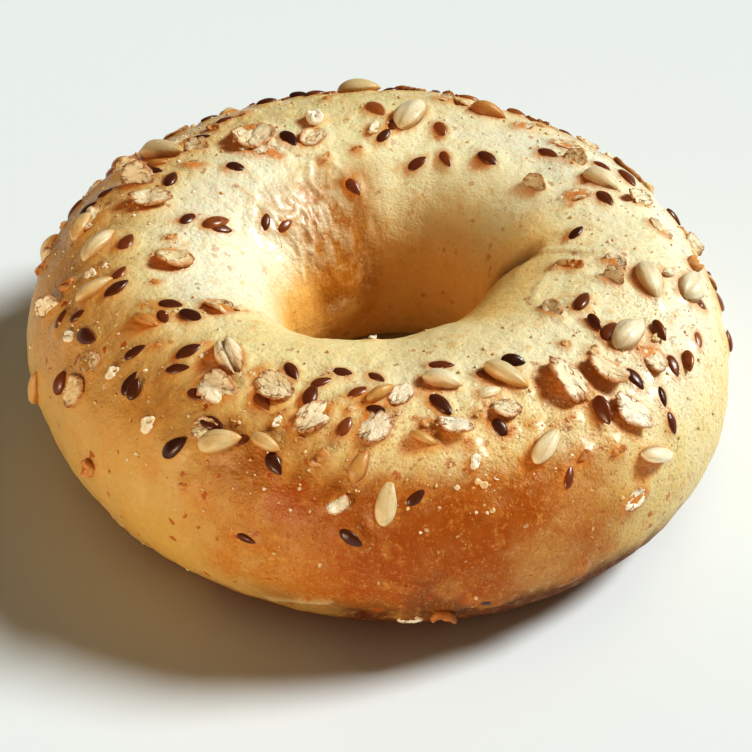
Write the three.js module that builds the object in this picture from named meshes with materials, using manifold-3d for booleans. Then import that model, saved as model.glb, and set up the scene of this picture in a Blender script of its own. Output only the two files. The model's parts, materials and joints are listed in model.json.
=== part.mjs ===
// A seeded wholegrain bagel, whole: one ring of bread with sunflower kernels, oat flakes and flax
// seeds baked into its crust, so all of it is one solid. Millimetres, +Z up. The origin is under
// the middle of the ring, on the surface that the flat base rests on. Azimuth is measured from +X
// towards +Y. Girth is the angle round the ring's section: 0 on the outer wall's widest line, 90 on
// the crest, 180 on the narrowest line of the hole.
import * as THREE from "three";
import { mergeVertices } from "three/addons/utils/BufferGeometryUtils.js";
import Module from "manifold-3d";

const wasm = await Module();
wasm.setup();

const DEG = Math.PI / 180;

// ---------------------------------------------------------------- the ring's driving dimensions

const OUTER_RADIUS = 59; // middle of the ring to the widest line of its outer wall
const HOLE_RADIUS = 14.5; // middle of the ring to the narrowest line of the hole
const WIDEST_HEIGHT = 18; // both of those lines above the table
const CREST_RISE = 20.7; // from them up to the crest
const UNDERSIDE_DROP = 20.3; // from them down to where the dough would hang without a table
const TOP_FULLNESS = 2.12; // exponent of the section's upper half: 2 is an ellipse, more is fuller
const UNDERSIDE_FULLNESS = 2.15;

// A hand-rolled ring is uneven. Each wave swells a size by its share, most at its azimuth.
const OUTER_OVAL = { share: 0.034, lobes: 2, towards: -49 * DEG };
const OUTER_CORNERS = { share: 0.006, lobes: 3, towards: 56 * DEG };
const HOLE_OVAL = { share: 0.17, lobes: 2, towards: 38 * DEG };
const HOLE_SHIFT = { share: 0.08, lobes: 1, towards: 78 * DEG };
const CREST_DIPS = { share: 0.022, lobes: 2, towards: 86 * DEG };

// Shallow dents where the dough rose unevenly, and the crease in the hole where its ends join.
const DENT_DEPTH = 0.25;
const DENTS = [
  { round: 5, along: 2, shift: 0.7 },
  { round: 9, along: 3, shift: 2.1 },
  { round: 4, along: 5, shift: 4.4 },
];
const CREASE = {
  azimuth: 6 * DEG,
  depth: 1.3,
  halfWidth: 1.5,
  from: 112 * DEG,
  to: 205 * DEG,
  fade: 14 * DEG,
};

const STEPS_ROUND = 84;
const STEPS_GIRTH = 19;

// ------------------------------------------------------------------------------ the bread ring

const wave = ({ share, lobes, towards }, azimuth) => share * Math.cos(lobes * (azimuth - towards));
const signedPower = (value, exponent) => Math.sign(value) * Math.abs(value) ** exponent;
const smoothStep = (value, low, high) => THREE.MathUtils.smoothstep(value, low, high);

// The girth angle, below the widest line, at which the underside meets the table.
const BASE_TURN = Math.asin((WIDEST_HEIGHT / UNDERSIDE_DROP) ** (UNDERSIDE_FULLNESS / 2));

const outerRadius = (azimuth) =>
  OUTER_RADIUS * (1 + wave(OUTER_OVAL, azimuth) + wave(OUTER_CORNERS, azimuth));
const holeRadius = (azimuth) =>
  HOLE_RADIUS * (1 + wave(HOLE_OVAL, azimuth) + wave(HOLE_SHIFT, azimuth));

// How far the crust lies inside the plain section, in mm. It is 0 at the base, which stays flat.
function dentDepth(azimuth, girth) {
  const clearOfBase = smoothStep(Math.sin(girth), -Math.sin(BASE_TURN), 0.2);
  const swell = DENTS.reduce(
    (sum, { round, along, shift }) => sum + Math.sin(round * azimuth + shift) * Math.cos(along * girth),
    0,
  );
  return DENT_DEPTH * clearOfBase * swell;
}

function creaseDepth(azimuth, girth) {
  const across = Math.sin(azimuth - CREASE.azimuth) * holeRadius(azimuth);
  const onThisSide = Math.cos(azimuth - CREASE.azimuth) > 0 ? 1 : 0;
  const along =
    smoothStep(girth, CREASE.from, CREASE.from + CREASE.fade) *
    (1 - smoothStep(girth, CREASE.to - CREASE.fade, CREASE.to));
  return CREASE.depth * onThisSide * along * Math.exp(-((across / CREASE.halfWidth) ** 2));
}

function crustPoint(azimuth, girth) {
  const ringRadius = (outerRadius(azimuth) + holeRadius(azimuth)) / 2;
  const halfWidth = (outerRadius(azimuth) - holeRadius(azimuth)) / 2;
  const upper = Math.sin(girth) >= 0;
  const power = 2 / (upper ? TOP_FULLNESS : UNDERSIDE_FULLNESS);
  const reach = upper ? CREST_RISE * (1 + wave(CREST_DIPS, azimuth)) : UNDERSIDE_DROP;
  const dent = dentDepth(azimuth, girth) + creaseDepth(azimuth, girth);
  const outwards = (halfWidth - dent) * signedPower(Math.cos(girth), power);
  const upwards = (reach - dent) * signedPower(Math.sin(girth), power);
  const radius = ringRadius + outwards;
  const height = Math.max(0, WIDEST_HEIGHT + upwards);
  return new THREE.Vector3(radius * Math.cos(azimuth), radius * Math.sin(azimuth), height);
}

// Rows run from the base's outer edge over the crest to its inner edge, and the last strip of
// faces, from there back to the first row, is the flat base.
function ringGeometry() {
  const rows = STEPS_GIRTH + 1;
  const positions = [];
  for (let i = 0; i < STEPS_ROUND; i++)
    for (let j = 0; j < rows; j++) {
      const girth = -BASE_TURN + (j / STEPS_GIRTH) * (Math.PI + 2 * BASE_TURN);
      positions.push(...crustPoint((i / STEPS_ROUND) * 2 * Math.PI, girth).toArray());
    }
  const index = [];
  for (let i = 0; i < STEPS_ROUND; i++)
    for (let j = 0; j < rows; j++) {
      const here = i * rows;
      const next = ((i + 1) % STEPS_ROUND) * rows;
      const up = (j + 1) % rows;
      index.push(here + j, next + j, next + up, here + j, next + up, here + up);
    }
  return new THREE.BufferGeometry()
    .setAttribute("position", new THREE.Float32BufferAttribute(positions, 3))
    .setIndex(index);
}

// --------------------------------------------------------------------------------- the toppings

// Each kind is a lathed outline, flattened to its real length, width and thickness. The outline's
// pairs are shares: [of the half width, of the half length]. A flake's lies the other way round, as
// [of the half length and width, of the half thickness], with a dimple on top.
const KERNEL_OUTLINE = [[0, -1], [0.74, -0.6], [1, -0.1], [0.6, 0.56], [0, 1]];
const SEED_OUTLINE = [[0, -1], [0.95, -0.4], [0.8, 0.4], [0, 1]];
const FLAKE_OUTLINE = [[0, -1], [1, -0.1], [0.74, 1], [0, 0.35]];

// `sunk` is the share of the thickness that lies under the crust.
const TOPPINGS = [
  { name: "sunflower kernel", count: 30, length: 8.6, width: 4.6, thickness: 2.7, sunk: 0.33 },
  { name: "oat flake", count: 42, length: 7.8, width: 5.6, thickness: 1.6, sunk: 0.4 },
  { name: "flax seed", count: 80, length: 4.7, width: 2.5, thickness: 1.4, sunk: 0.36 },
];
const OUTLINES = {
  "sunflower kernel": { points: KERNEL_OUTLINE, sides: 6, lies: "lengthwise" },
  "oat flake": { points: FLAKE_OUTLINE, sides: 7, lies: "flat" },
  "flax seed": { points: SEED_OUTLINE, sides: 5, lies: "lengthwise" },
};

// They cover the shoulder of the ring, and a few stray down its wall or towards the hole.
const BAND = { middle: 64 * DEG, halfWidth: 40 * DEG };
const STRAYS = { oneIn: 9, middle: 62 * DEG, halfWidth: 78 * DEG };
const SIZE_SPREAD = 0.16;
const TILT_SPREAD = 8 * DEG;
const CANDIDATES = 40; // places tried for each one, of which the clearest is taken
const SEED = 38;

// A small seeded generator (mulberry32) of numbers from 0 to 1.
function seededRandom(seed) {
  let state = seed;
  return () => {
    state = (state + 0x6d2b79f5) | 0;
    let t = Math.imul(state ^ (state >>> 15), 1 | state);
    t = (t + Math.imul(t ^ (t >>> 7), 61 | t)) ^ t;
    return ((t ^ (t >>> 14)) >>> 0) / 4294967296;
  };
}

// The crust's outward normal, from two short steps along it.
function crustNormal(azimuth, girth) {
  const step = 0.01;
  const round = crustPoint(azimuth + step, girth).sub(crustPoint(azimuth - step, girth));
  const along = crustPoint(azimuth, girth + step).sub(crustPoint(azimuth, girth - step));
  return round.cross(along).normalize();
}

function toppingGeometry({ name, length, width, thickness }) {
  const { points, sides, lies } = OUTLINES[name];
  const outline = points.map(([across, along]) => new THREE.Vector2(across, along));
  const geometry = new THREE.LatheGeometry(outline, sides);
  if (lies === "flat") geometry.rotateX(Math.PI / 2);
  else geometry.rotateZ(-Math.PI / 2);
  return geometry.scale(length / 2, width / 2, thickness / 2);
}

// Picks the place, of several drawn, that is furthest from the toppings already there.
function clearestPlace(random, range, reach, placed) {
  let best = null;
  for (let i = 0; i < CANDIDATES; i++) {
    const azimuth = random() * 2 * Math.PI;
    const girth = range.middle + range.halfWidth * (random() + random() - 1);
    const point = crustPoint(azimuth, girth);
    const gaps = placed.map((other) => other.point.distanceTo(point) - other.reach - reach);
    const gap = Math.min(...gaps, Infinity);
    if (!best || gap > best.gap) best = { azimuth, girth, point, reach, gap };
  }
  return best;
}

// Lays a topping on the crust, turned any way, tilted a little and sunk into it.
function toppingMatrix({ azimuth, girth, point }, { thickness, sunk }, random) {
  const normal = crustNormal(azimuth, girth);
  const stand = new THREE.Quaternion().setFromUnitVectors(new THREE.Vector3(0, 0, 1), normal);
  const tilt = new THREE.Euler(
    (random() - 0.5) * 2 * TILT_SPREAD,
    (random() - 0.5) * 2 * TILT_SPREAD,
    random() * 2 * Math.PI,
    "ZYX",
  );
  const turn = stand.multiply(new THREE.Quaternion().setFromEuler(tilt));
  const size = 1 + (random() - 0.5) * 2 * SIZE_SPREAD;
  const place = point.clone().addScaledVector(normal, size * thickness * (0.5 - sunk));
  return new THREE.Matrix4().compose(place, turn, new THREE.Vector3(size, size, size));
}

function toppingGeometries() {
  const random = seededRandom(SEED);
  const placed = [];
  const made = [];
  for (const kind of TOPPINGS)
    for (let i = 0; i < kind.count; i++) {
      const range = i % STRAYS.oneIn === STRAYS.oneIn - 1 ? STRAYS : BAND;
      const place = clearestPlace(random, range, kind.length / 2, placed);
      placed.push(place);
      made.push(toppingGeometry(kind).applyMatrix4(toppingMatrix(place, kind, random)));
    }
  return made;
}

// ------------------------------------------------------------------------------- fused into one

// A closed geometry as a manifold-3d solid. Lathes have doubled vertices and, at their poles,
// faces with no area, which go.
function solidOf(geometry) {
  const bare = geometry.clone();
  bare.deleteAttribute("normal");
  bare.deleteAttribute("uv");
  const merged = mergeVertices(bare, 1e-4);
  const corners = merged.index.array;
  const triVerts = [];
  for (let i = 0; i < corners.length; i += 3) {
    const [a, b, c] = corners.slice(i, i + 3);
    if (a !== b && b !== c && c !== a) triVerts.push(a, b, c);
  }
  return new wasm.Manifold(
    new wasm.Mesh({
      numProp: 3,
      vertProperties: merged.attributes.position.array,
      triVerts: new Uint32Array(triVerts),
    }),
  );
}

function geometryOf(solid) {
  const mesh = solid.getMesh();
  return new THREE.BufferGeometry()
    .setAttribute("position", new THREE.BufferAttribute(mesh.vertProperties, 3))
    .setIndex(new THREE.BufferAttribute(mesh.triVerts, 1));
}

const fused = wasm.Manifold.union([solidOf(ringGeometry()), ...toppingGeometries().map(solidOf)]);

const crust = new THREE.MeshStandardMaterial({ color: 0xd9a65c, roughness: 0.55, metalness: 0 });
const bagel = new THREE.Mesh(geometryOf(fused), crust);
bagel.name = "bagel";

const model = new THREE.Group();
model.add(bagel);

export default model;
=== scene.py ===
# %% [markdown]
# # A seeded wholegrain bagel
#
# A bagel is a ring of boiled and baked dough: a thin, glossy, leathery skin over dense bread. This
# one was rolled in seeds before it went into the oven, so sunflower kernels, oat flakes and flax
# seeds are stuck in the skin, mostly on its shoulders. The lesson builds the bare ring first, lays
# the toppings on it, lets the dough swell up round them, and then finishes each in its material.
#
# Everything is in metres. The frame that is loaded here holds the plain solid that the finished
# pieces stand for. Azimuth is measured from +X towards +Y. Girth is the angle round the ring's
# section: 0 on the outer wall, 90 degrees on the crest, 180 on the narrowest line of the hole.

# %% Load the frame
import json
import math
import random

import bpy
from mathutils import Matrix, Vector, noise
from mathutils.bvhtree import BVHTree

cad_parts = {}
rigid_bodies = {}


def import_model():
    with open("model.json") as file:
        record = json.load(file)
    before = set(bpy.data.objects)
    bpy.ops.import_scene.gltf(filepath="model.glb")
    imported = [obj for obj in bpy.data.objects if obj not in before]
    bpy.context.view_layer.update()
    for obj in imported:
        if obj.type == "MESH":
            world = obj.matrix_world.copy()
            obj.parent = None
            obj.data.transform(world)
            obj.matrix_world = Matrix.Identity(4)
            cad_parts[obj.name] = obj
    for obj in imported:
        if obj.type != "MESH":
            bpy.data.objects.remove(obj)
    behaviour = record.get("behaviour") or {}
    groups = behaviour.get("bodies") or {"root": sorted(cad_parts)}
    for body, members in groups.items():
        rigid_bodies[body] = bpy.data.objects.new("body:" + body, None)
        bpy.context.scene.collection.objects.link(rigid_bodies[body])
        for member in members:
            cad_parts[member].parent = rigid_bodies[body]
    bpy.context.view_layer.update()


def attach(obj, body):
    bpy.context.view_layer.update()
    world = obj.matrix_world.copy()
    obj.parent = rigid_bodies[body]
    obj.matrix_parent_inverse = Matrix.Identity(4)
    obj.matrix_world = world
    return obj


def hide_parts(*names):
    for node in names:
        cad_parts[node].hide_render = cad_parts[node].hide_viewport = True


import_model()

MM = 0.001

# %% [markdown]
# ## Two helpers for node trees
#
# A node tree is a formula drawn as boxes and wires. Written out box by box it is long and hard to
# read, so `Wire` lets an output be used in a plain Python expression: each operator adds the Math
# node that does it. The same class serves the shapes, which are Geometry Nodes, and the finishes,
# which are Shader Nodes.


# %% Wires
class Wire:
    """One output of a node. Arithmetic on it adds Math nodes to its tree."""

    def __init__(self, bench, node, socket):
        self.bench, self.node, self.socket = bench, node, socket

    def math(self, operation, *values):
        return self.bench.add("ShaderNodeMath", {"operation": operation}, dict(enumerate(values)))

    def __add__(self, other):
        return self.math("ADD", self, other)

    def __sub__(self, other):
        return self.math("SUBTRACT", self, other)

    def __rsub__(self, other):
        return self.math("SUBTRACT", other, self)

    def __mul__(self, other):
        return self.math("MULTIPLY", self, other)

    def __truediv__(self, other):
        return self.math("DIVIDE", self, other)

    def __rtruediv__(self, other):
        return self.math("DIVIDE", other, self)

    def __pow__(self, other):
        return self.math("POWER", self, other)

    __radd__ = __add__
    __rmul__ = __mul__

    def sin(self):
        return self.math("SINE", self)

    def cos(self):
        return self.math("COSINE", self)

    def exp(self):
        return self.math("EXPONENT", self)

    def at_least(self, other):
        return self.math("MAXIMUM", self, other)

    def at_most(self, other):
        return self.math("MINIMUM", self, other)

    def signed_power(self, exponent):
        return self.math("SIGN", self) * self.math("ABSOLUTE", self) ** exponent

    def ramp(self, low, high, start=0.0, end=1.0):
        """Goes smoothly from start, where this is low, to end, where it is high."""
        inputs = {"Value": self, "From Min": low, "From Max": high, "To Min": start, "To Max": end}
        return self.bench.add("ShaderNodeMapRange", {"interpolation_type": "SMOOTHSTEP"}, inputs)

    def output(self, name):
        """Another output of the same node."""
        return Wire(self.bench, self.node, self.node.outputs[name])


print("wires ready")

# %% [markdown]
# `Bench` wraps a tree, and its one method adds any node: first the settings, because they decide
# which sockets the node has, and then the value or the wire of each socket. A number that goes into
# an operator becomes the value of a socket, so it needs no node.


# %% Benches
class Bench:
    """A node tree, and the one method that adds nodes to it."""

    def __init__(self, tree):
        self.tree = tree

    def add(self, kind, settings=None, inputs=None, output=None):
        """Adds a node: its settings first, then the value or wire of each socket."""
        node = self.tree.nodes.new(kind)
        for name, value in (settings or {}).items():
            if name == "stops":
                ramp = node.color_ramp
                while len(ramp.elements) < len(value):
                    ramp.elements.new(0.5)
                for element, (place, colour) in zip(ramp.elements, value):
                    element.position = place
                    element.color = (*colour, 1.0)
            else:
                setattr(node, name, value)
        for key, value in (inputs or {}).items():
            self.plug(node.inputs[key], value)
        shown = [socket for socket in node.outputs if socket.enabled]
        if not shown:
            return node
        return Wire(self, node, node.outputs[output] if output else shown[0])

    def plug(self, socket, value):
        for each in value if isinstance(value, list) else [value]:
            if isinstance(each, Wire):
                self.tree.links.new(each.socket, socket)
            else:
                socket.default_value = each


print("benches ready")

# %% [markdown]
# ## The camera comes first
#
# The camera stands close to where a person leaning over a table would look from, 38 degrees above
# it, through a long lens that keeps the ring's shape true. It is made first because the toppings
# are laid out in its view: a seed's place is a pixel there, and a ray sent from the camera through
# that pixel finds where on the bread the seed lies.

# %% Camera
IMAGE_SIDE = 752  # the camera's image is square, and this many pixels a side
FOCAL_PIXELS = 2829.0
SENSOR_MM = 36.0
VIEW_TILT = math.radians(38)
VIEW_CENTRE = Vector((0, 0, 18 * MM))
VIEW_DISTANCE = 480 * MM
CENTRE_PIXEL = (379.1, 341.6)  # where the view centre falls in the image

view_direction = Vector((0, math.cos(VIEW_TILT), -math.sin(VIEW_TILT)))
camera_data = bpy.data.cameras.new("camera")
camera_data.sensor_width = SENSOR_MM
camera_data.lens = FOCAL_PIXELS / IMAGE_SIDE * SENSOR_MM
camera_data.shift_x = (IMAGE_SIDE / 2 - CENTRE_PIXEL[0]) / IMAGE_SIDE
camera_data.shift_y = (CENTRE_PIXEL[1] - IMAGE_SIDE / 2) / IMAGE_SIDE
camera = bpy.data.objects.new("camera", camera_data)
camera.location = VIEW_CENTRE - view_direction * VIEW_DISTANCE
camera.rotation_euler = (math.pi / 2 - VIEW_TILT, 0, 0)
bpy.context.scene.collection.objects.link(camera)
bpy.context.scene.camera = camera
view_up = Vector((0, math.sin(VIEW_TILT), math.cos(VIEW_TILT)))
print("lens", round(camera_data.lens, 1), "mm")

# %% [markdown]
# ## The bread ring
#
# The dough was rolled into a rope, joined end to end, boiled and baked, so it is a fat ring that is
# flat where it stood on the tray and a little uneven everywhere. It could be a torus pushed about
# by hand, but the form follows a rule: a rounded section, swept round a circle whose outer radius
# and hole swell and shrink in slow waves. So Geometry Nodes lay a flat grid, read its two
# directions as azimuth and girth, and set each point by the rule. The tree's inputs are the real
# sizes, the same ones that the solid has.

# %% Sizes of the ring
RING_SIZES = {
    "Outer Radius": 59.0 * MM,
    "Hole Radius": 14.5 * MM,
    "Widest Height": 18.0 * MM,
    "Crest Rise": 20.7 * MM,
    "Underside Drop": 20.3 * MM,
    "Top Fullness": 2.12,
    "Underside Fullness": 2.15,
}
# Each wave: the share it swells a size by, its lobes, and the azimuth it swells most at.
OUTER_WAVES = [(0.034, 2, -49), (0.006, 3, 56)]
HOLE_WAVES = [(0.17, 2, 38), (0.08, 1, 78)]
CREST_WAVES = [(0.022, 2, 86)]
DENTS = [(5, 2, 0.7), (9, 3, 2.1), (4, 5, 4.4)]  # waves round the ring, along the girth, shift
DENT_DEPTH = 0.25 * MM
BASE_ROUNDING = 0.8 * MM  # how softly the wall turns into the flat base
WELD = 0.01 * MM  # points nearer than this become one
FACES_ROUND, FACES_GIRTH = 520, 184
print("ring", 2 * FACES_ROUND * FACES_GIRTH, "triangles")

# %% [markdown]
# The finer forms of the skin come next, still in the same tree. The rope's two ends meet in a
# crease down the inside of the hole. The skin wrinkled as it stretched over the rim of the hole at
# the back left, and there are soft lumps all over. A bump in the material would cost less, but these
# are real relief, because they catch the light at the outline too. Only what is under a millimetre
# wide is left to the material.

# %% Crease, wrinkles and lumps
CREASE = {"azimuth": 6, "depth": 1.5 * MM, "half_width": 1.1 * MM, "from": 112, "to": 205}
WRINKLES = {"azimuth": 140, "girth": 125, "height": 0.14 * MM, "round": 4.2, "down": 2.6}
LUMPS = [(10 * MM, 0.34 * MM), (4 * MM, 0.18 * MM), (2 * MM, 0.11 * MM)]  # size across, height
SWELL = {"height": 0.48 * MM, "reach": 1.0 * MM}  # dough risen round each topping
FOLD = {"height": 0.46 * MM, "reach": 0.50 * MM}  # a fold of loose skin, raised along a line
SHADE = {"azimuth": 20, "rise": 39, "length": 5.0 * MM}  # a topping in this direction casts a shadow, painted into the skin's colour
print(len(LUMPS), "sizes of lump, the tallest", LUMPS[0][1] / MM, "mm")

# %% [markdown]
# Every tree that makes a shape starts and runs in the same way. `made_by_tree` puts a tree on a
# carrier as a modifier, keeps the mesh that comes out and throws the carrier away, because a plain
# mesh is what can be measured and handed on. The inputs are set before Blender first evaluates the
# carrier, so the tree runs once.


# %% Starting and running a tree
def new_geometry_tree(name, inputs):
    """A Geometry Nodes tree with these named inputs, and its bench, input wires and outlet."""
    tree = bpy.data.node_groups.new(name, "GeometryNodeTree")
    for label, kind in inputs.items():
        tree.interface.new_socket(label, in_out="INPUT", socket_type="NodeSocket" + kind)
    tree.interface.new_socket("Geometry", in_out="OUTPUT", socket_type="NodeSocketGeometry")
    bench = Bench(tree)
    source = bench.add("NodeGroupInput")
    wires = {label: source.output(label) for label in inputs}
    return tree, bench, wires


def made_by_tree(name, tree, values, base=None):
    """Runs the tree on an object and returns a new object that holds the plain mesh it makes."""
    carrier = bpy.data.objects.new(name + "_carrier", base or bpy.data.meshes.new(name + "_base"))
    bpy.context.scene.collection.objects.link(carrier)
    modifier = carrier.modifiers.new(name, "NODES")
    modifier.node_group = tree
    items = tree.interface.items_tree
    sockets = {item.name: item.identifier for item in items if item.in_out == "INPUT"}
    for label, value in values.items():
        modifier[sockets[label]] = value
    depsgraph = bpy.context.evaluated_depsgraph_get()
    mesh = bpy.data.meshes.new_from_object(carrier.evaluated_get(depsgraph), depsgraph=depsgraph)
    carrier.modifiers.clear()
    bpy.data.objects.remove(carrier)
    mesh.name = name
    made = bpy.data.objects.new(name, mesh)
    bpy.context.scene.collection.objects.link(made)
    return made


print("tree helpers ready")

# %% [markdown]
# The trees share some steps too: they read and store attributes, which carry a value from point to
# point of the mesh and on into the materials, and they use slow waves, noise, and how near a point
# is to another shape. Nearness fades as a bell does, so that what it raises has no edge.


# %% Fields, waves and noise
def carried(bench, name, data_type="FLOAT"):
    """An attribute that the mesh carries, by its name."""
    return bench.add("GeometryNodeInputNamedAttribute", {"data_type": data_type}, {"Name": name})


def with_fields(bench, shape, fields, domain="POINT"):
    """The shape, with each field stored on it by name."""
    for name, field in fields.items():
        inputs = {"Geometry": shape, "Name": name, "Value": field}
        shape = bench.add("GeometryNodeStoreNamedAttribute", {"domain": domain}, inputs)
    return shape


def nearness(bench, shape, element, reach):
    """1 on the shape's faces or edges, about a third at `reach` from them, and 0 far away."""
    gap = bench.add("GeometryNodeProximity", {"target_element": element}, {0: shape}, "Distance")
    return (gap / reach * (gap / reach) * -1.0).exp() * gap.output("Is Valid")


def vector_math(bench, operation, first, second, output=None):
    """A Vector Math node. Its second value is a number if the operation is to scale."""
    inputs = {0: first, "Scale" if operation == "SCALE" else 1: second}
    return bench.add("ShaderNodeVectorMath", {"operation": operation}, inputs, output)


def direction(azimuth, rise):
    """The unit vector that points to that azimuth and that many degrees up."""
    azimuth, rise = math.radians(azimuth), math.radians(rise)
    return Vector((math.cos(azimuth) * math.cos(rise), math.sin(azimuth) * math.cos(rise), math.sin(rise)))


def swelling(turn, waves):
    """1 plus each wave, at azimuth `turn`."""
    total = 1.0
    for share, lobes, towards in waves:
        total = share * (lobes * turn - lobes * math.radians(towards)).cos() + total
    return total


def noise_at(bench, place, size, detail=2.0, roughness=0.5):
    """Noise from about -1 to 1, in blobs of that size across."""
    inputs = {"Vector": place, "Scale": 1 / size, "Detail": detail, "Roughness": roughness}
    return (bench.add("ShaderNodeTexNoise", {}, inputs) - 0.5) * 2.0


print("field helpers ready")

# %% [markdown]
# The tree reads the grid's X as azimuth and its Y as girth. The section is a rounded square: the
# sine and cosine of the girth, each raised to a power, where a fullness above 2 makes it fuller than
# a circle. A soft maximum with zero presses the underside flat, as the tray did. The angles are
# stored on the mesh, because all that follows asks where on the ring a point is.

# %% The ring's tree
ring_inputs = {label: "Float" for label in RING_SIZES}
ring_inputs |= {"Toppings": "Collection", "Folds": "Object", "Skin": "Material"}
ring_tree, bench, given = new_geometry_tree("bread ring", ring_inputs)

grid = bench.add(
    "GeometryNodeMeshGrid",
    {},
    {"Size X": 1.0, "Size Y": 1.0, "Vertices X": FACES_ROUND + 1, "Vertices Y": FACES_GIRTH + 1},
)
flat_place = bench.add("ShaderNodeSeparateXYZ", {}, {0: bench.add("GeometryNodeInputPosition")})
turn = (flat_place.output("X") + 0.5) * (2 * math.pi)
girth = (flat_place.output("Y") + 0.25) * (2 * math.pi)  # from -90 to 270 degrees: the seam is below

outer = swelling(turn, OUTER_WAVES) * given["Outer Radius"]
hole = swelling(turn, HOLE_WAVES) * given["Hole Radius"]
rise = swelling(turn, CREST_WAVES) * given["Crest Rise"]
above = girth.sin().math("GREATER_THAN", girth.sin(), 0.0)

swell = 0.0
for round_waves, girth_waves, shift in DENTS:
    swell = (turn * round_waves + shift).sin() * (girth * girth_waves).cos() + swell
clear_of_base = girth.sin().ramp(-0.93, 0.2)
past_crease = turn - math.radians(CREASE["azimuth"])
across = past_crease.sin() * hole / CREASE["half_width"]
facing = past_crease.cos().ramp(0.0, 0.1)
along = girth.ramp(math.radians(CREASE["from"]), math.radians(CREASE["from"] + 16))
along = along * girth.ramp(math.radians(CREASE["to"] - 14), math.radians(CREASE["to"]), 1.0, 0.0)
crease = (across * across * -1.0).exp() * facing * along
dent = swell * clear_of_base * DENT_DEPTH + crease * CREASE["depth"]

top, underside = given["Top Fullness"], given["Underside Fullness"]
power = 2.0 / (above * (top - underside) + underside)
reach = above * (rise - given["Underside Drop"]) + given["Underside Drop"]
radius = (outer + hole) * 0.5 + ((outer - hole) * 0.5 - dent) * girth.cos().signed_power(power)
height = given["Widest Height"] + (reach - dent) * girth.sin().signed_power(power)
height = height.math("SMOOTH_MAX", height, 0.0, BASE_ROUNDING)
inputs = {"X": radius * turn.cos(), "Y": radius * turn.sin(), "Z": height}
place = bench.add("ShaderNodeCombineXYZ", {}, inputs)
fields = {"azimuth": turn, "girth": girth, "crease": crease}
fields |= {"upward": girth.sin(), "outward": girth.cos()}
shaped = with_fields(bench, grid, fields)
shaped = bench.add("GeometryNodeSetPosition", {}, {"Geometry": shaped, "Position": place})
shaped = bench.add("GeometryNodeMergeByDistance", {}, {"Geometry": shaped, "Distance": WELD})
print("the ring's form:", len(ring_tree.nodes), "nodes")

# %% [markdown]
# Wrinkles run from the crest down into the hole, so their noise is stretched: it is read at a place
# whose girth counts for little and whose azimuth counts for much. Folded at its middle with an
# absolute value, noise turns into the thin raised ridges that loose skin makes.
#
# Two things depend on the toppings, which are an input of the tree. The dough rises round each one,
# by how near the skin is to it. And beside each one, on the side away from the light, the topping's
# shadow is painted into the skin's colour as a warm orange brown. How near the skin is wouldn't
# tell the two sides apart, so each point sends a short ray towards the light, and where the ray hits
# a topping and the skin faces the light, the point is marked as lying in that painted shadow.

# %% Relief on the ring
azimuth, girth, upward = (carried(bench, name) for name in ("azimuth", "girth", "upward"))
here = bench.add("GeometryNodeInputPosition")
facing_out = bench.add("GeometryNodeInputNormal")
clear_of_base = upward.ramp(-0.84, -0.55)

lumps = 0.0
for size, tall in LUMPS:
    lumps = noise_at(bench, here, size) * tall + lumps

inputs = {"X": azimuth * WRINKLES["round"], "Y": girth * WRINKLES["down"], "Z": 3.0}
ridge = noise_at(bench, bench.add("ShaderNodeCombineXYZ", {}, inputs), 1.0, 3.0, 0.6)
ridge = ridge.math("ABSOLUTE", ridge).ramp(0.0, 0.16, 1.0, 0.0)
near_azimuth = (azimuth - math.radians(WRINKLES["azimuth"])).cos().ramp(0.55, 0.95)
near_girth = (girth - math.radians(WRINKLES["girth"])).cos().ramp(0.70, 0.97)
wrinkled = near_azimuth * near_girth * clear_of_base
wrinkles = ridge * wrinkled

toppings = bench.add("GeometryNodeCollectionInfo", {}, {"Collection": given["Toppings"]})
toppings = bench.add("GeometryNodeRealizeInstances", {}, {"Geometry": toppings})
risen = nearness(bench, toppings, "FACES", SWELL["reach"])

# painted shadow: a ray towards the light marks the skin that a topping shades, where the skin faces the
# light
to_light = direction(SHADE["azimuth"], SHADE["rise"])
inputs = {"Target Geometry": toppings, "Ray Direction": to_light, "Ray Length": SHADE["length"]}
shaded = bench.add("GeometryNodeRaycast", {}, inputs, "Is Hit")
lit = vector_math(bench, "DOT_PRODUCT", facing_out, to_light, "Value")
browned = shaded * lit.ramp(0.12, 0.45)
browned = bench.add("GeometryNodeBlurAttribute", {}, {"Value": browned, "Iterations": 1})

folds = bench.add("GeometryNodeObjectInfo", {}, {"Object": given["Folds"]}, "Geometry")
folded = nearness(bench, folds, "EDGES", FOLD["reach"])
folded = folded * (noise_at(bench, here, 3.0 * MM) * 0.7 + 0.8)

lift = lumps + wrinkles * WRINKLES["height"] + folded * FOLD["height"] + risen * SWELL["height"]
lift = lift * clear_of_base
offset = vector_math(bench, "SCALE", facing_out, lift)
fields = {"wrinkle": wrinkles, "beside_topping": risen, "browned": browned, "fold": folded}
shaped = with_fields(bench, shaped, fields)
shaped = bench.add("GeometryNodeSetPosition", {}, {"Geometry": shaped, "Offset": offset})
shaped = bench.add("GeometryNodeSetShadeSmooth", {}, {"Geometry": shaped})
shaped = bench.add("GeometryNodeSetMaterial", {}, {"Geometry": shaped, "Material": given["Skin"]})
bench.add("NodeGroupOutput", {}, {"Geometry": shaped})

bare_ring = made_by_tree("bare_ring", ring_tree, RING_SIZES)
print("bare ring:", len(bare_ring.data.polygons), "faces")

# %% [markdown]
# ## The toppings' own forms
#
# A real handful of seeds has no two alike, yet all flax seeds are one kind of form. So each kind
# gets a few forms made by one rule with seeded unevenness, and every topping is one of them at its
# own size. A seed or kernel is a row of rings between two tips, one unit long. Its section is a
# lens, sharp at the rim, and its half width along its length is the kind's own outline.


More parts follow.
